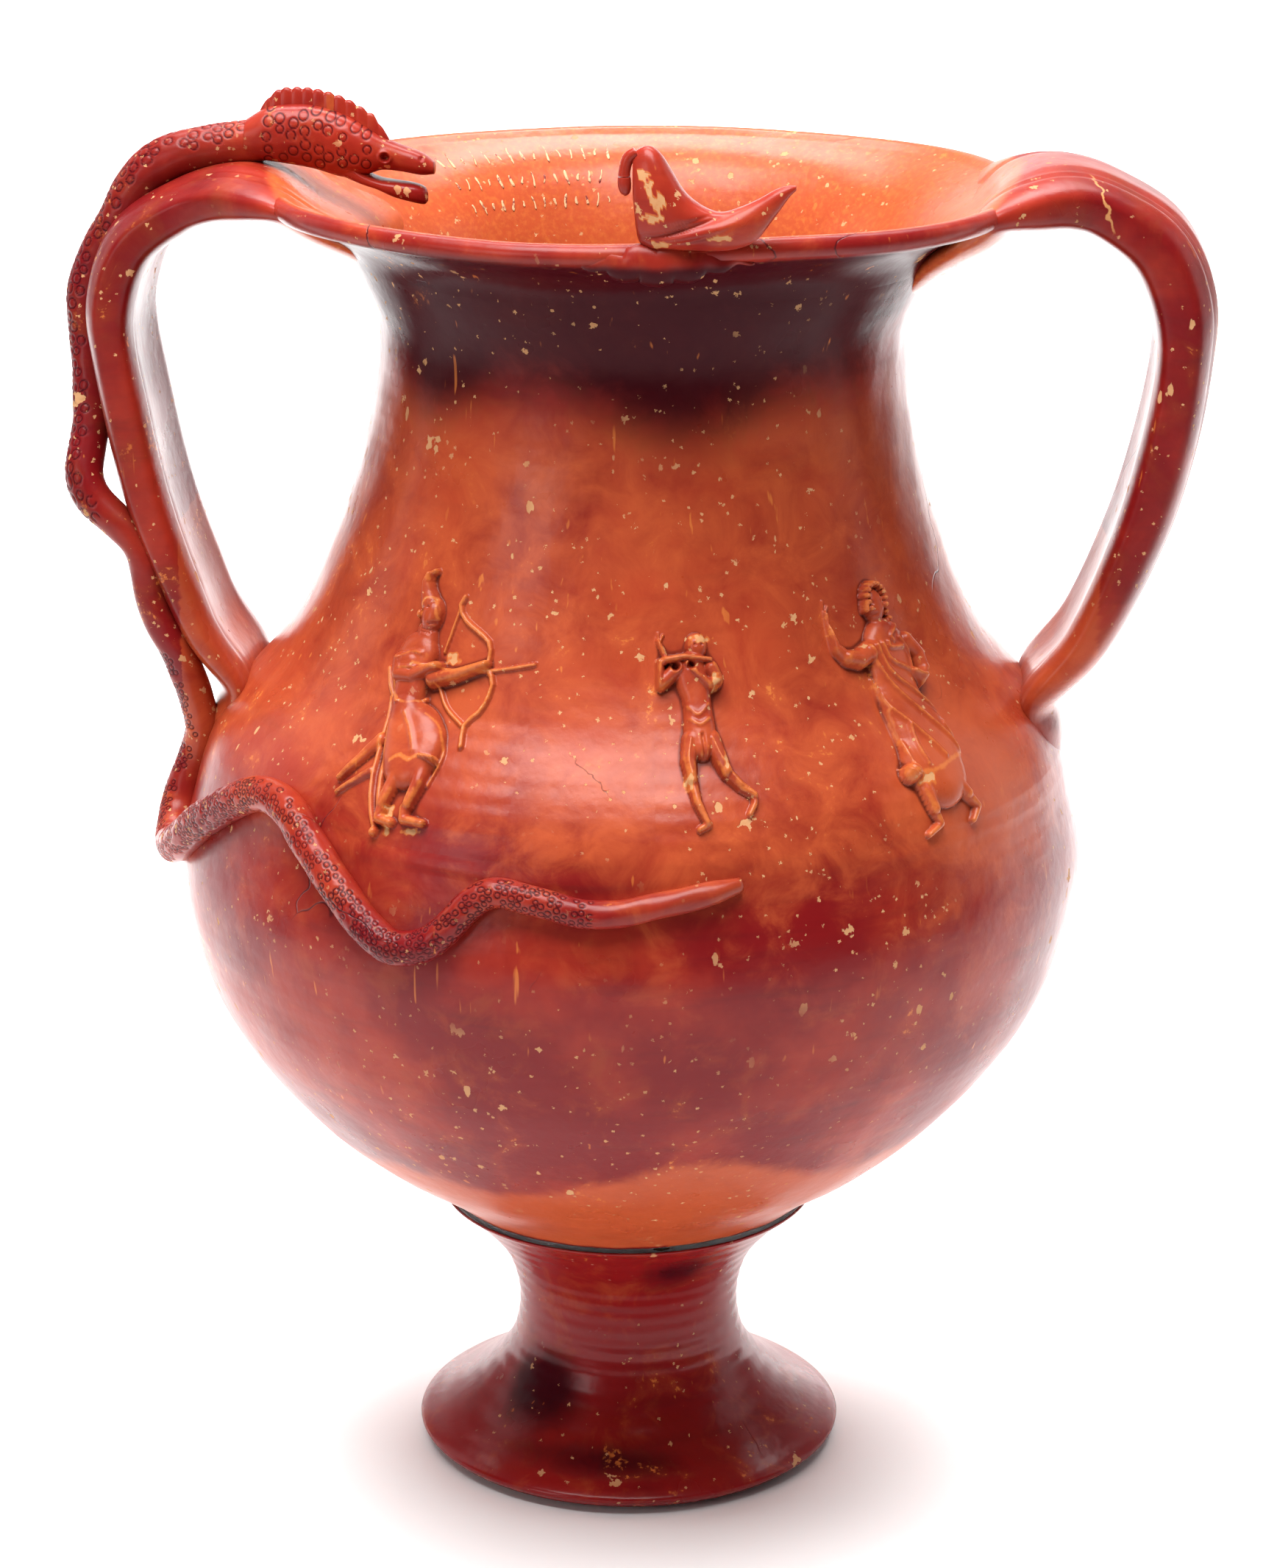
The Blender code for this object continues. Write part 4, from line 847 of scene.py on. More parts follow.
def serpent_route():
    """Rows of (point, outward direction, radius) from the broken tail on the front wall up to the neck."""
    thick, thin = SERPENT_RADIUS, SERPENT_TAIL
    sunk = 0.55
    wall = [
        (17.6, 0.2124, 0.6 * thin),
        (15.0, 0.2113, thin),
        (8.5, 0.2085, thin * 1.1),
        (1.0, 0.2058, thin * 1.2),
        (-5.3, 0.2077, thin * 1.25),
        (-12.1, 0.2100, thin * 1.3),
        (-15.2, 0.2062, thin * 1.35),
        (-18.2, 0.1980, thin * 1.4),
        (-21.6, 0.1933, thick * 0.86),
        (-25.6, 0.1935, thick * 0.86),
        (-31.5, 0.2017, thick * 0.88),
        (-38.7, 0.2130, thick * 0.90),
        (-43.6, 0.2193, thick * 0.90),
        (-48.2, 0.2212, thick * 0.90),
        (-53.5, 0.2188, thick * 0.92),
        (-60.5, 0.2105, thick * 0.95),
        (-67.0, 0.2015, thick),
        (-73.0, 0.1930, thick),
        (-78.0, 0.1900, thick),
        (-82.5, 0.1960, thick),
        (-84.0, 0.2070, thick * 0.95),
        (-83.5, 0.2200, thick * 0.92),
    ]
    rows = [np.append(serpent_spot(a, z, sunk * r), r) for a, z, r in wall]
    edge = -STRAP_WIDTH / 2
    on_strap = [
        (0.844, edge * 0.72, thick * 0.92, 0.25),
        (0.783, edge * 0.76, thick * 0.86, 0.38),
        (0.707, edge * 0.76, thick * 0.84, -0.10),
        (0.632, edge * 0.66, thick * 1.00, 1.75),
        (0.566, edge * 0.36, thick * 0.98, 1.00),
        (0.490, edge * 0.12, thick * 0.98, 0.62),
        (0.420, 0.0, thick * 1.10, 0.50),
        (0.349, edge * 0.04, thick * 1.08, 0.24),
        (0.278, 0.0, thick * 1.20, 0.95),
    ]
    rows += [np.append(strap_spot(s, a, lift * r), r) for s, a, r, lift in on_strap]
    return rows


def ring_spots(start, end, low, high, radius, random):
    """Places (along, around, radius) of ring stamps in rough rows, some left out."""
    spots = []
    for row, s in enumerate(np.arange(start, end, 2.7 * radius)):
        for c in np.arange(low + (row % 2) * 1.3 * radius, high, 2.9 * radius):
            if random.random() < 0.84:
                shift = random.uniform(-0.5, 0.5, 2) * radius
                spots.append((s + shift[0], c + shift[1], radius * random.uniform(0.85, 1.12)))
    return spots


def stamped(along, around, spots):
    """1 on the line of each ring stamp and 0 away from it; all in metres of surface."""
    mark = np.zeros(np.broadcast_shapes(along.shape, around.shape))
    around = around + 0 * mark
    for s, c, radius in spots:
        rows = np.abs(along[:, 0] - s) < 1.8 * radius
        gap = np.hypot(along[rows] - s, around[rows] - c)
        mark[rows] = np.maximum(mark[rows], np.exp(-(((gap - radius) / RING_LINE) ** 2)))
    return mark


def serpent_body(slip):
    """A lumpy tube on the serpent's route, with ring stamps pressed in its outer side."""
    x, top, low, half = head_route(9)[2]
    inside = np.array([x, 0.0, (top + low) / 2, 0.0, 0.0, 1.0, 0.8 * half])
    rows = path_through(np.array(serpent_route() + [inside]), 60)
    rows = smoothed(path_through(rows, 1000), 26)
    run = length_run(rows)
    neck = run[-1] - NECK_STAMPS
    steps = np.concatenate([
        np.arange(0, STAMPS_FROM, BODY_STEP),
        np.arange(STAMPS_FROM, STAMPS_TO, STAMP_STEP),
        np.arange(STAMPS_TO, neck, BODY_STEP),
        np.arange(neck, run[-1], STAMP_STEP),
    ])
    rows = np.column_stack([np.interp(steps, run, column) for column in rows.T])
    run = steps[:, None]
    points, outs, radii = rows[:, :3], unit(rows[:, 3:6]), rows[:, 6:7]
    along = unit(np.gradient(points, steps, axis=0))
    across = unit(np.cross(along, outs))
    up = np.cross(across, along)
    outer = np.linspace(-100, 100, 52, endpoint=False)
    turn = np.radians(np.concatenate([outer, np.linspace(100, 260, 20, endpoint=False)]))[None, :]
    random = np.random.default_rng(7)
    spots = ring_spots(STAMPS_FROM, STAMPS_TO, -0.0060, 0.0060, BODY_RING, random)
    spots += ring_spots(neck, run[-1, 0], -0.0085, 0.0085, NECK_RING, random)
    mark = stamped(run, radii * turn, spots)
    lumps = 0.16 * MM * np.sin(run * 310 + 2 * turn) * np.sin(run * 127 + turn)
    size = radii + lumps - RING_DEPTH * mark
    ring = across[:, None] * np.sin(turn)[..., None] + up[:, None] * np.cos(turn)[..., None]
    points = lean(points[:, None] + size[..., None] * ring)
    obj, used = sheet_mesh("serpent_body", points, wrap=True)
    close_ends(obj)
    # Painted shade in the lines of the ring stamps.
    slipped(obj, slip, crease=0.80 * mark.reshape(-1)[used])


def head_rows(shares):
    """Rows of (x, top z, underside z, half width) from shares of the head's length, height and width."""
    size = (HEAD_LENGTH, HEAD_HEIGHT, HEAD_HEIGHT, HEAD_WIDTH)
    return np.array(shares) * size + (HEAD_X, HEAD_Z, HEAD_Z, 0.0)


def head_route(count):
    """The serpent's neck and skull, reaching in over the rim."""
    shares = [
        (-0.13, 0.72, 0.02, 0.42),
        (0.00, 0.94, -0.03, 0.47),
        (0.15, 1.00, -0.09, 0.49),
        (0.29, 0.98, -0.17, 0.50),
        (0.46, 0.83, -0.31, 0.48),
        (0.60, 0.59, -0.25, 0.43),
        (0.69, 0.42, -0.17, 0.37),
        (0.81, 0.27, -0.20, 0.31),
        (0.92, 0.15, -0.26, 0.28),
        (1.00, -0.02, -0.24, 0.19),
    ]
    return path_through(head_rows(shares), count)


def serpent_head(slip):
    """Upright rounded sections along the skull, with eyes, nostrils and rings pressed in its sides."""
    x, wide, tall, c = upright(smoothed(head_route(190), 8), 120, 0.82, 0.82)
    share = (x - HEAD_X) / HEAD_LENGTH
    height = (tall - HEAD_Z) / HEAD_HEIGHT
    push = np.zeros(wide.shape)
    eye = np.hypot((share - 0.715) * HEAD_LENGTH, (height - 0.10) * HEAD_HEIGHT)
    push -= 1.5 * MM * np.exp(-((eye / (1.05 * MM)) ** 4))
    push += 0.5 * MM * np.exp(-(((eye - 1.6 * MM) / (0.5 * MM)) ** 2))
    nostril = np.hypot((share - 0.93) * HEAD_LENGTH, (height - 0.06) * HEAD_HEIGHT)
    push -= 0.8 * MM * np.exp(-((nostril / (0.55 * MM)) ** 4))
    jaw = np.exp(-(((height + 0.13 + 0.35 * (share - 0.55)) / 0.035) ** 2)) * ease((share - 0.42) / 0.1)
    push -= 0.5 * MM * jaw
    random = np.random.default_rng(3)
    spots = ring_spots(0.02 * HEAD_LENGTH, 0.62 * HEAD_LENGTH, 0.0, HEAD_HEIGHT, NECK_RING, random)
    mark = stamped(share * HEAD_LENGTH, height * HEAD_HEIGHT, spots)
    push -= RING_DEPTH * mark
    push *= np.abs(c) ** 0.5
    out_y = wide + push * np.sign(c)
    points = lean(np.stack([x + 0 * c, out_y, tall], axis=-1))
    obj, used = sheet_mesh("serpent_head", points, wrap=True)
    close_ends(obj)
    # Painted shade in the lines of the ring stamps.
    slipped(obj, slip, crease=0.80 * mark.reshape(-1)[used])


def serpent_jaw(slip):
    """The lower jaw hangs open under the snout."""
    shares = [
        (0.44, 0.20, -0.28, 0.34),
        (0.56, -0.16, -0.42, 0.36),
        (0.66, -0.31, -0.52, 0.33),
        (0.76, -0.36, -0.66, 0.31),
        (0.88, -0.41, -0.76, 0.27),
        (0.94, -0.48, -0.79, 0.19),
        (0.96, -0.58, -0.74, 0.06),
    ]
    x, wide, tall, _ = upright(path_through(head_rows(shares), 70), 48, 0.8, 0.7)
    points = lean(np.stack([x + 0 * wide, wide, tall], axis=-1))
    obj, _ = sheet_mesh("serpent_jaw", points, wrap=True)
    close_ends(obj)
    slipped(obj, slip)


def serpent_crest(slip):
    """A thin fin over the skull, its edge scalloped and its sides creased from notch to root."""
    skull = smoothed(head_route(80), 4)
    levels = 14
    share = np.linspace(0.0, 1.0, 200)
    x = HEAD_X + (-0.05 + 0.78 * share) * HEAD_LENGTH
    top = np.interp(x, skull[:, 0], skull[:, 1])
    swell = np.clip(share / 0.16, 0, 1) ** 0.7 * np.clip((1 - share) / 0.12, 0, 1) ** 0.8
    scallop = np.abs(np.sin(math.pi * 12 * share))
    height = CREST_HEIGHT * swell * (0.84 + 0.16 * scallop)
    root = 0.35 * HEAD_HEIGHT
    up = np.linspace(0, 1, levels)
    side = np.concatenate([up, up[::-1]])
    sign = np.concatenate([np.full(levels, -1.0), np.full(levels, 1.0)])
    half = CREST_THICKNESS / 2 * (1 - 0.45 * side**2) * np.where(side > 0.97, 0.55, 1)
    crease = 1 - 0.22 * (1 - scallop[:, None]) * side[None, :]
    z = (top - root)[:, None] + side[None, :] * (root + height)[:, None]
    y = sign[None, :] * half[None, :] * crease + 0.5 * MM * side[None, :] ** 2
    points = lean(np.stack([x[:, None] + 0 * y, y, z], axis=-1))
    obj, _ = sheet_mesh("serpent_crest", points, wrap=True)
    close_ends(obj)
    slipped(obj, slip)


# Bird on the rim


def bird(slip):
    """Upright rounded sections from breast to tail, creased where the folded wing lies."""
    front = -(RIM_RADIUS - 0.0030)
    lip = RIM_Z - 0.0015
    shares = [
        (0.00, 0.87, 0.45, 0.10),
        (0.03, 0.92, 0.10, 0.15),
        (0.10, 0.955, 0.00, 0.20),
        (0.17, 0.88, 0.00, 0.22),
        (0.235, 0.73, 0.00, 0.22),
        (0.32, 0.53, 0.00, 0.21),
        (0.42, 0.41, 0.00, 0.20),
        (0.53, 0.35, 0.00, 0.19),
        (0.64, 0.39, 0.02, 0.17),
        (0.76, 0.47, 0.10, 0.14),
        (0.88, 0.57, 0.33, 0.10),
        (0.96, 0.605, 0.50, 0.06),
        (1.00, 0.60, 0.56, 0.025),
    ]
    size = (BIRD_LENGTH, BIRD_HEIGHT, BIRD_HEIGHT, BIRD_HEIGHT)
    rows = smoothed(path_through(np.array(shares) * size + (BIRD_LEFT, lip, lip, 0.0), 200), 10)
    x, body, tall, c = upright(rows, 90, 0.85, 0.85)
    share = (x - BIRD_LEFT) / BIRD_LENGTH
    level = (tall - lip) / BIRD_HEIGHT
    push = np.zeros(tall.shape)
    main = [(0.0, 0.12), (0.10, 0.14), (0.24, 0.18), (0.40, 0.255), (0.58, 0.34), (1.0, 0.50)]
    upper = [(0.0, 0.20), (0.22, 0.235), (0.38, 0.295), (0.52, 0.36), (1.0, 0.55)]
    lower = [(0.0, 0.05), (0.28, 0.09), (0.50, 0.17), (0.66, 0.27), (1.0, 0.50)]
    feathers = (
        (main, 1.5, 0.024, 0.30, 0.36),
        (upper, 0.7, 0.018, 0.34, 0.24),
        (lower, 0.6, 0.018, 0.40, 0.30),
    )
    for knots, deep, spread, middle, wide in feathers:
        line = np.exp(-(((level - through(knots, share)) / spread) ** 2))
        push -= deep * MM * line * bump((share - middle) / wide)
    wing = through(main, share) - 0.09
    push += 1.1 * MM * np.exp(-(((level - wing) / 0.075) ** 2)) * bump((share - 0.42) / 0.42)
    y = body + push * squared(c, 0.5)
    points = lean(np.stack([x + 0 * c, front + y, tall], axis=-1))
    obj, used = sheet_mesh("bird", points, wrap=True)
    spots = (
        (0.070, 0.71, 0.040, 0.060),
        (0.105, 0.61, 0.028, 0.080),
        (0.157, 0.47, 0.050, 0.090),
        (0.130, 0.32, 0.075, 0.050),
        (0.540, 0.145, 0.080, 0.030),
        (0.180, 0.07, 0.060, 0.040),
        (0.080, 0.97, 0.060, 0.015),
    )
    worn = np.zeros(level.shape)
    for at, height, wide, high in spots:
        edge = 0.30 * np.sin(90 * share + 31 * level) + 0.25 * np.sin(70 * level - 55 * share + 1)
        away = np.hypot((share - at) / wide, (level - height) / high)
        worn = np.maximum(worn, ease((1.1 - away + 0.6 * edge) / 0.2))
    close_ends(obj)
    slipped(obj, slip, worn.reshape(-1)[used])
    beak = (
        (0.020, 0.90, 0.050),
        (-0.030, 0.84, 0.055),
        (-0.052, 0.72, 0.055),
        (-0.052, 0.60, 0.062),
        (-0.046, 0.53, 0.045),
        (-0.044, 0.50, 0.012),
    )
    beak = [
        (BIRD_LEFT + along * BIRD_LENGTH, front - MM, lip + up * BIRD_HEIGHT, radius * BIRD_HEIGHT)
        for along, up, radius in beak
    ]
    tube("bird_beak", path_through(beak, 50), 32, slip)
    smear = []
    for angle in np.linspace(-6.5, 21.0, 40):
        a = math.radians(angle)
        swell = 0.0002 + 0.0031 * bump((angle - 6.5) / 14.5) ** 0.8
        wave = 0.0006 * math.sin(angle * 1.3)
        out = RIM_RADIUS - 0.0016
        smear.append((out * math.sin(a), -out * math.cos(a), RIM_Z - 0.0052 - wave, swell))
    tube("bird_smear", np.array(smear), 40, slip, stretch=1.6)


def tube(name, rows, sides, slip, stretch=1.0):
    """Rings round a path of (x, y, z, radius) rows, taller than wide by stretch."""
    points, radii = rows[:, :3], rows[:, 3]
    along = unit(np.gradient(points, axis=0))
    out = unit(np.cross(along, (0.0, 0.0, 1.0)) + 1e-9)
    up = np.cross(out, along)
    c, s = round_about(sides)
    ring = out[:, None] * c[..., None] + stretch * up[:, None] * s[..., None]
    obj, _ = sheet_mesh(name, lean(points[:, None] + radii[:, None, None] * ring), wrap=True)
    close_ends(obj)
    slipped(obj, slip)


# Foot


def foot(slip):
    """The turned foot: dish, lip, stem, spreading edge, standing ring and the hollow below."""
    gap = 2.5 * CLEARANCE
    turn = np.radians(np.linspace(90, 8, 8))
    dish = np.column_stack([(SEAT_RADIUS + gap) * np.cos(turn), SEAT_Z - (BOWL_DIP + gap) * np.sin(turn)])
    lip_top = SEAT_Z - 2 * gap
    lip = (lip_top - FOOT_LIP, SEAT_RADIUS + FOOT_LIP)
    stem = (STEM_Z, STEM_RADIUS)
    edge = (FOOT_EDGE, FOOT_RADIUS)
    knots = [lip, stem] + between(stem, lip, STEM_TO_SEAT) + between(stem, edge, STEM_TO_EDGE)
    z = np.linspace(lip[0], between(stem, edge, STEM_TO_EDGE)[-1][0], 90)
    outer = np.column_stack([smoothed(through(knots, z), 10), z])
    rounded = [(FOOT_RADIUS - inset, FOOT_EDGE * share) for share, inset in EDGE_ROUND]
    rounded = path_through(np.column_stack([[tuple(outer[-1])] + rounded, np.zeros(5)]), 30)[1:, :2]
    ring = FOOT_RADIUS - 1.3 * FOOT_EDGE
    under = [
        (ring, 0.0),
        (ring - FOOT_WALL * 0.5, 0.0),
        (ring - FOOT_WALL, 0.0004),
        (ring - FOOT_WALL - 0.001, 0.0016),
        (0.5 * (ring - FOOT_WALL) + 0.5 * (STEM_RADIUS - FOOT_WALL), STEM_Z * 0.36),
        (STEM_RADIUS - FOOT_WALL, STEM_Z * 0.76),
        (STEM_RADIUS - 1.4 * FOOT_WALL, FOOT_HOLLOW),
        (0.010, FOOT_HOLLOW * 1.06),
        (0.0, FOOT_HOLLOW * 1.08),
    ]
    dish[0, 0] = 0
    profile = np.vstack([dish, [(SEAT_RADIUS + gap, lip_top)], outer, rounded, under])
    degrees = np.arange(-180, 180, 1.5)[None, :]
    a = np.radians(degrees)
    radius, height = profile[:, :1], profile[:, 1:]
    wobble = 0.10 * MM * np.sin(height * 1400 + np.sin(a)) + 0.15 * MM * np.sin(2 * a + 60 * height)
    radius = radius + wobble * (radius > 0.030) * (height > 0.002)
    obj, _ = sheet_mesh("foot_turned", around(radius, a, height), wrap=True, weld=True)
    places = vertices(obj)
    turn = np.degrees(np.arctan2(places[:, 0], -places[:, 1]))
    z = places[:, 2]
    # Painted shade under the bowl: on the dish at the left, at the stem's top and just above the front
    # edge.
    store_tones(obj, np.maximum.reduce([
        bump((turn + 38) / 40) * bump((z - 0.025) / 0.018),
        0.8 * bump((turn - 24) / 26) * bump((z - 0.066) / 0.012),
        0.7 * bump((turn + 5) / 60) * bump((z - 0.012) / 0.006),
    ]))
    finish(obj, "foot", slip)


# Painted strokes

STROKE_ROWS = ((0.3690, -133.0, -169.0), (0.3630, -133.5, -167.0), (0.3568, -135.0, -168.0))
STROKE_STEP = 2.5
STROKE_TALL = 0.0040
STROKE_WIDE = 0.0008


def inner_wall(degrees, z):
    """Points just inside the flare of the mouth."""
    throat = (NECK_Z, NECK_RADIUS - WALL)
    brim = (RIM_Z, RIM_RADIUS - LIP)
    knots = [throat, *between(throat, brim, MOUTH_FLARE), brim]
    radius = through(knots, z) + hand_made(degrees, z) - 0.10 * MM
    a = np.radians(degrees)
    return lean(drawn_out(around(radius, a, z)))


def painted_strokes(paint):
    """Rows of short plain bars inside the mouth, at the back left."""
    work = bmesh.new()
    c, s = round_about(8)
    count = 0
    for row, (z, first, last) in enumerate(STROKE_ROWS):
        for degrees in np.arange(first, last, -STROKE_STEP):
            tall = STROKE_TALL * (0.70 + 0.30 * math.sin(2.3 * count + row))
            tilt = (0.55, -0.35, 0.10, -0.60, 0.25)[count % 5]
            count += 1
            share = np.linspace(-0.5, 0.5, 9)
            at = degrees + tilt * share + 0.10 * np.sin(5 * share + count)
            spine = inner_wall(at, z + tall * share)
            along = unit(np.gradient(spine, axis=0))
            inward = unit(np.column_stack([-spine[:, 0], -spine[:, 1], 0 * share]))
            side = unit(np.cross(along, inward))
            wide = STROKE_WIDE / 2 * (0.8 + 0.3 * np.sin(3 * share + count))
            wide = (wide * np.clip(4.2 - 8 * np.abs(share), 0.25, 1))[:, None, None]
            ring = wide * c[..., None] * side[:, None] + 0.12 * MM * s[..., None] * inward[:, None]
            piece, _ = sheet_mesh("stroke", spine[:, None] + ring, wrap=True)
            close_ends(piece)
            work.from_mesh(piece.data)
            bpy.data.objects.remove(piece)
    mesh = bpy.data.meshes.new("painted_strokes")
    work.to_mesh(mesh)
    work.free()
    obj = bpy.data.objects.new("painted_strokes", mesh)
    bpy.context.scene.collection.objects.link(obj)
    finish(obj, "vessel", paint)


# Materials


class Nodes:
    """Short calls for building one material's nodes."""

    def __init__(self, name):
        self.material = bpy.data.materials.new(name)
        self.material.use_nodes = True
        self.tree = self.material.node_tree
        self.shader = self.tree.nodes["Principled BSDF"]
        self.where = self.tree.nodes.new("ShaderNodeTexCoord").outputs["Object"]

    def put(self, socket, value):
        if isinstance(value, bpy.types.NodeSocket):
            self.tree.links.new(value, socket)
        else:
            socket.default_value = value

    def node(self, kind, settings=None, **inputs):
        node = self.tree.nodes.new(kind)
        for key, value in (settings or {}).items():
            setattr(node, key, value)
        for key, value in inputs.items():
            self.put(node.inputs[key.replace("_", " ")], value)
        return node

    def math(self, operation, a, b=0.0, c=0.0):
        node = self.tree.nodes.new("ShaderNodeMath")
        node.operation = operation
        for socket, value in zip(node.inputs, (a, b, c)):
            self.put(socket, value)
        return node.outputs[0]

    def times(self, a, b):
        return self.math("MULTIPLY", a, b)

    def rest(self, a):
        return self.math("SUBTRACT", 1.0, a)

    def noise(self, scale, detail=3.0, rough=0.5, where=None, warp=0.0):
        node = self.node("ShaderNodeTexNoise", Scale=scale, Detail=detail, Roughness=rough, Distortion=warp)
        self.put(node.inputs["Vector"], self.where if where is None else where)
        return node.outputs[0]

    def ramp(self, value, low, high):
        node = self.node("ShaderNodeMapRange", {"interpolation_type": "SMOOTHSTEP"}, Value=value)
        node.inputs["From Min"].default_value = low
        node.inputs["From Max"].default_value = high
        return node.outputs[0]

    def mix(self, amount, a, b):
        node = self.node("ShaderNodeMix", {"data_type": "RGBA"})
        for socket, value in zip((node.inputs[0], node.inputs[6], node.inputs[7]), (amount, a, b)):
            self.put(socket, value)
        return node.outputs[2]

    def stretched(self, scale, turn=(0.0, 0.0, 0.0)):
        node = self.node("ShaderNodeMapping", Vector=self.where, Scale=scale, Rotation=turn)
        return node.outputs[0]

    def shifted(self, scale, amount, where=None):
        """Coordinates moved about by noise, for ragged edges."""
        where = self.where if where is None else where
        noise = self.node("ShaderNodeTexNoise", Vector=where, Scale=scale, Detail=3.0)
        centred = self.node("ShaderNodeVectorMath", {"operation": "SUBTRACT"})
        self.put(centred.inputs[0], noise.outputs["Color"])
        centred.inputs[1].default_value = (0.5, 0.5, 0.5)
        moved = self.node("ShaderNodeVectorMath", {"operation": "MULTIPLY_ADD"})
        self.put(moved.inputs[0], centred.outputs[0])
        moved.inputs[1].default_value = (amount,) * 3
        self.put(moved.inputs[2], where)
        return moved.outputs[0]

    def chips(self, scale, share, size, ragged, where=None):
        """Ragged spots: a share of the cells hold one, each of its own size."""
        where = self.shifted(scale * 2.5, ragged, where)
        cells = self.node("ShaderNodeTexVoronoi", Vector=where, Scale=scale)
        draw = self.node("ShaderNodeSeparateColor", Color=cells.outputs["Color"]).outputs
        reach = self.times(self.ramp(draw[0], 1 - share, 1.0), size)
        return self.ramp(self.math("SUBTRACT", reach, cells.outputs["Distance"]), 0.0, 0.05)

    def vector(self, operation, a, b=(0.0, 0.0, 0.0), out="Vector"):
        node = self.node("ShaderNodeVectorMath", {"operation": operation})
        self.put(node.inputs[0], a)
        self.put(node.inputs[1], b)
        return node.outputs[out]

    def crack(self, where, middle, across, reach, width):
        """1 on the plane through the middle and square to across, as far as reach from the middle."""
        away = self.vector("SUBTRACT", where, middle)
        off = self.math("ABSOLUTE", self.vector("DOT_PRODUCT", away, across, "Value"))
        line = self.rest(self.ramp(off, 0.4 * width, width))
        far = self.ramp(self.vector("LENGTH", away, out="Value"), 0.75 * reach, reach)
        return self.times(line, self.rest(far))


def colour(red, green, blue):
    return (red, green, blue, 1.0)


BRICK = colour(0.200, 0.0058, 0.0070)
RUST = colour(0.360, 0.0290, 0.0130)
# Plum is for streaks, cracks and the painted shade.
PLUM = colour(0.034, 0.0020, 0.0060)
# Orange is for mottling and the orange tone, on the shoulder partly painted top light.
ORANGE = colour(0.530, 0.0950, 0.0290)
AMBER = colour(0.640, 0.1800, 0.0400)
OCHRE = colour(0.560, 0.250, 0.090)
PALE_BUFF = colour(0.660, 0.400, 0.200)
OXBLOOD = colour(0.250, 0.0070, 0.0080)
PAPER = colour(0.86, 0.86, 0.86)
BRIGHT_PAPER = colour(0.90, 0.90, 0.90)

# Each crack: its middle, the way it is square to, its reach from the middle and its width
DARK_CRACKS = (
    ((-0.0560, -0.0670, 0.3610), (0.36, 0.20, 0.91), 0.0130, 0.00050),
    ((-0.0602, -0.0735, 0.3735), (0.96, -0.10, 0.10), 0.0055, 0.00035),
    ((-0.0050, -0.1190, 0.2420), (0.62, 0.10, 0.78), 0.0160, 0.00018),
)
PALE_CRACKS = (
    ((0.1290, -0.0180, 0.3720), (0.93, 0.15, 0.28), 0.0100, 0.00045),
)


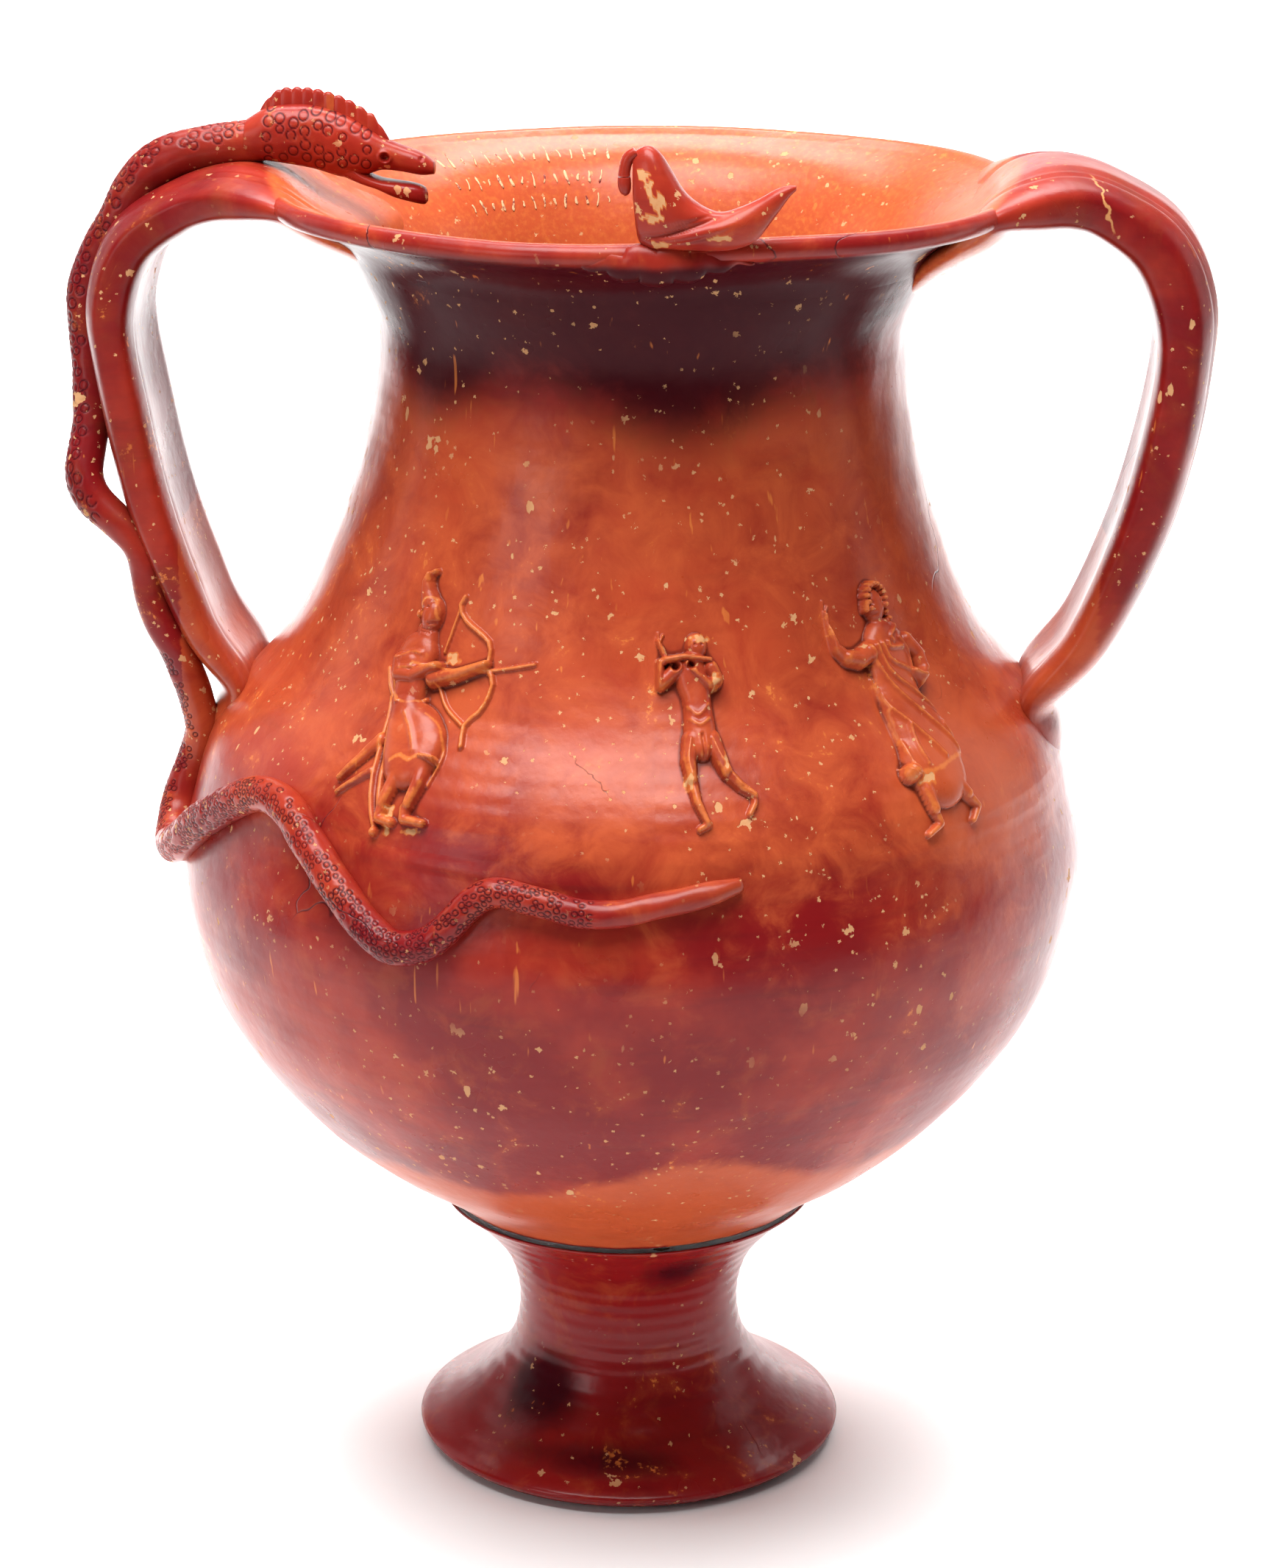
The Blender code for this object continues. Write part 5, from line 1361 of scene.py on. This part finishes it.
def slip_material(name, ground, warm, chips=1.0, rough=0.30):
    """Satin red slip over pale clay: mottled, given painted shade, orange and wear by the tones, chipped
    and scratched.
    """
    n = Nodes(name)
    tone = n.node("ShaderNodeAttribute", {"attribute_name": "tone"}).outputs["Color"]
    painted_shade, orange_and_light, worn = n.node("ShaderNodeSeparateColor", Color=tone).outputs[:3]
    cloud = n.noise(17.0, 5.0, 0.6)
    mottle = n.noise(70.0, 6.0, 0.65, warp=0.6)
    fine = n.noise(620.0, 3.0, 0.6)
    patches = n.noise(13.0, 3.0, 0.5)
    base = n.mix(n.ramp(cloud, 0.40, 0.66), ground, warm)
    base = n.mix(n.times(n.ramp(mottle, 0.48, 0.72), 0.30), base, ORANGE)
    streak = n.noise(1.0, 4.0, 0.6, n.stretched((26.0, 26.0, 210.0)))
    base = n.mix(n.times(n.ramp(streak, 0.50, 0.75), 0.20), base, PLUM)
    ragged = n.times(n.math("SUBTRACT", mottle, 0.5), 0.9)
    # The orange tone, on the shoulder partly a painted top light.
    amber = n.ramp(n.math("ADD", orange_and_light, ragged), 0.12, 0.85)
    base = n.mix(n.times(amber, 0.82), base, ORANGE)
    # Painted shade: the shade tone darkens the slip towards plum.
    shadow = n.ramp(n.math("ADD", painted_shade, n.times(ragged, 0.7)), 0.12, 0.85)
    base = n.mix(n.times(shadow, 0.92), base, PLUM)
    # Wear turns the slip amber; on relief ridges it is partly a painted highlight.
    rubbed = n.ramp(n.math("ADD", worn, n.times(n.math("SUBTRACT", fine, 0.5), 0.9)), 0.25, 0.75)
    base = n.mix(n.times(rubbed, 0.70), base, AMBER)
    scuffs = n.times(n.ramp(mottle, 0.60, 0.64), n.ramp(fine, 0.50, 0.62))
    scuffs = n.times(scuffs, n.ramp(patches, 0.50, 0.60))
    base = n.mix(n.times(scuffs, 0.80), base, AMBER)
    bare = n.ramp(n.math("ADD", worn, n.times(n.math("SUBTRACT", fine, 0.5), 0.6)), 0.82, 0.98)
    flecks = n.chips(150.0, 0.016 * chips, 0.42, 0.009)
    small = n.chips(380.0, 0.028 * chips, 0.46, 0.0032)
    tiny = n.chips(900.0, 0.060 * chips, 0.50, 0.0014)
    slanted = n.chips(1.0, 0.045 * chips, 0.36, 0.45, n.stretched((330.0, 330.0, 150.0), (0.0, 0.9, 0.3)))
    chip = n.math("MAXIMUM", n.math("MAXIMUM", small, tiny), slanted)
    chip = n.times(chip, n.ramp(patches, 0.38, 0.52))
    chip = n.math("MAXIMUM", n.math("MAXIMUM", chip, flecks), bare)
    clay_tone = n.mix(n.noise(300.0, 2.0), OCHRE, PALE_BUFF)
    base = n.mix(n.times(chip, 0.85), base, clay_tone)
    wandering = n.shifted(30.0, 0.03)
    cells = n.node("ShaderNodeTexVoronoi", {"feature": "DISTANCE_TO_EDGE"}, Vector=wandering, Scale=11.0)
    hair = n.rest(n.ramp(cells.outputs["Distance"], 0.0, 0.004))
    hair = n.times(hair, n.ramp(n.noise(9.0, 2.0), 0.60, 0.64))
    ragged_place = n.shifted(190.0, 0.0050)
    for crack in DARK_CRACKS:
        hair = n.math("MAXIMUM", hair, n.crack(ragged_place, *crack))
    base = n.mix(n.times(hair, 0.80), base, PLUM)
    for crack in PALE_CRACKS:
        base = n.mix(n.crack(ragged_place, *crack), base, OCHRE)
    scratch = n.noise(1.0, 2.0, 0.4, n.stretched((420.0, 420.0, 30.0), (0.9, 0.35, 0.0)))
    scratch = n.times(n.ramp(scratch, 0.70, 0.76), n.ramp(n.noise(22.0, 2.0), 0.46, 0.60))
    base = n.mix(n.times(scratch, 0.7), base, AMBER)
    grit = n.noise(240.0, 5.0, 0.6)
    grain = n.math("MULTIPLY_ADD", grit, 0.35, n.times(n.noise(60.0, 3.0), 0.9))
    relief = n.math("SUBTRACT", grain, n.times(n.math("ADD", chip, hair), 0.35))
    n.put(n.shader.inputs["Base Color"], base)
    shine = n.math("MULTIPLY_ADD", n.noise(45.0, 4.0), 0.20, rough - 0.10)
    shine = n.math("MULTIPLY_ADD", chip, 0.45, shine)
    n.put(n.shader.inputs["Roughness"], shine)
    n.put(n.shader.inputs["Specular IOR Level"], n.math("MULTIPLY_ADD", shadow, -0.17, 0.26))
    bumps = n.node("ShaderNodeBump", Height=relief, Strength=0.45, Distance=0.0006)
    n.put(n.shader.inputs["Normal"], bumps.outputs[0])
    return n.material


def paint_material(name, tint, under):
    """Pale worn paint, broken by the slip under it."""
    n = Nodes(name)
    patchy = n.ramp(n.noise(420.0, 4.0, 0.7), 0.38, 0.52)
    n.put(n.shader.inputs["Base Color"], n.mix(patchy, under, tint))
    n.shader.inputs["Roughness"].default_value = 0.6
    return n.material


# Stage, lights and camera

VIEW_FROM = 4.5
VIEW_DISTANCE = 1.15288
VIEW_HEIGHT = 0.56999
VIEW_CENTRE_X = 0.003
VIEW_PITCH = 17.997
FRAME_HEIGHT_PX = 2131
FOCAL_PX = 5741.5
PRINCIPAL_Y_PX = 1091.3

POT_MIDDLE = (0.0, 0.0, 0.22)
SIDE_SIZE = (0.45, 1.10)

# Each light: its name, place, what it points at, its size, power in watts and spread in degrees
SOFTBOXES = (
    ("left_box", (-0.90, 0.30, 0.45), POT_MIDDLE, SIDE_SIZE, 1.7, 180),
    ("right_box", (0.95, 0.30, 0.45), POT_MIDDLE, SIDE_SIZE, 1.8, 180),
    ("top_box", (-0.10, -0.35, 1.35), POT_MIDDLE, (1.00, 0.70), 29.0, 180),
    ("front_box", (-1.05, -1.25, 0.75), POT_MIDDLE, (0.50, 0.70), 4.2, 180),
    ("floor_box", (0.0, 1.40, 2.00), (0.0, 1.30, 0.0), (2.60, 1.30), 78.0, 85),
)
ROOM_GLOW = 0.07


def camera():
    lens = bpy.data.cameras.new("still")
    lens.sensor_fit = "VERTICAL"
    lens.sensor_height = 36.0
    lens.lens = FOCAL_PX / FRAME_HEIGHT_PX * lens.sensor_height
    lens.shift_y = (PRINCIPAL_Y_PX - FRAME_HEIGHT_PX / 2) / FRAME_HEIGHT_PX
    obj = bpy.data.objects.new("still", lens)
    a = math.radians(VIEW_FROM)
    obj.location = (VIEW_CENTRE_X + VIEW_DISTANCE * math.sin(a), -VIEW_DISTANCE * math.cos(a), VIEW_HEIGHT)
    obj.rotation_euler = (math.radians(90 - VIEW_PITCH), 0.0, a)
    bpy.context.scene.collection.objects.link(obj)
    bpy.context.scene.camera = obj


def softbox(name, place, target, size, power, spread):
    light = bpy.data.lights.new(name, "AREA")
    light.shape = "RECTANGLE"
    light.size, light.size_y = size
    light.energy = power
    light.spread = math.radians(spread)
    obj = bpy.data.objects.new(name, light)
    obj.location = place
    away = np.array(place) - np.array(target)
    flat = math.hypot(away[0], away[1])
    obj.rotation_euler = (math.atan2(flat, away[2]), 0.0, math.atan2(away[0], -away[1]))
    bpy.context.scene.collection.objects.link(obj)


def studio():
    """A pale floor that runs up behind, and soft lights at both sides, above and in front."""
    u = np.linspace(-4.0, 4.0, 40)[None, :]
    run = np.linspace(-5.0, 4.0, 160)[:, None]
    bend, back = 0.55, 1.70
    turn = np.clip((run - back) / bend, 0, math.pi / 2)
    y = np.where(run < back, run, back + bend * np.sin(turn))
    z = bend * (1 - np.cos(turn)) + np.clip(run - back - bend * math.pi / 2, 0, None)
    points = np.stack([u + 0 * run, y + 0 * u, z + 0 * u], axis=-1)
    floor, _ = sheet_mesh("pale_floor", points)
    n = Nodes("pale_paper")
    n.put(n.shader.inputs["Base Color"], n.mix(n.noise(3.0, 2.0), PAPER, BRIGHT_PAPER))
    n.shader.inputs["Roughness"].default_value = 0.85
    floor.data.materials.append(n.material)
    for name, place, target, size, power, spread in SOFTBOXES:
        softbox(name, place, target, size, power, spread)
    world = bpy.data.worlds.new("soft_room")
    world.use_nodes = True
    world.node_tree.nodes["Background"].inputs["Color"].default_value = colour(1.0, 1.0, 1.0)
    world.node_tree.nodes["Background"].inputs["Strength"].default_value = ROOM_GLOW
    bpy.context.scene.world = world
    bpy.context.scene.view_settings.view_transform = "Standard"


def main():
    slip = slip_material("red_slip", BRICK, RUST)
    snake_slip = slip_material("snake_slip", BRICK, RUST, chips=1.6)
    foot_slip = slip_material("foot_slip", OXBLOOD, BRICK, chips=0.45, rough=0.24)
    paint = paint_material("pale_paint", PALE_BUFF, BRICK)
    turns, top_row = outer_wall(slip)
    neck_and_lip(slip, turns, top_row)
    figured_panel("archer_panel", ARCHER, archer, slip)
    figured_panel("nude_panel", NUDE, nude, slip)
    figured_panel("draped_panel", DRAPED, draped, slip)
    strap("plain_strap", 1, PLAIN_THICKNESS, (PLAIN_FLARE,), slip)
    strap("serpent_strap", -1, SNAKE_THICKNESS, SNAKE_BENDS, slip)
    serpent_body(snake_slip)
    serpent_head(snake_slip)
    serpent_jaw(slip)
    serpent_crest(slip)
    bird(slip)
    painted_strokes(paint)
    foot(foot_slip)
    studio()
    camera()


main()
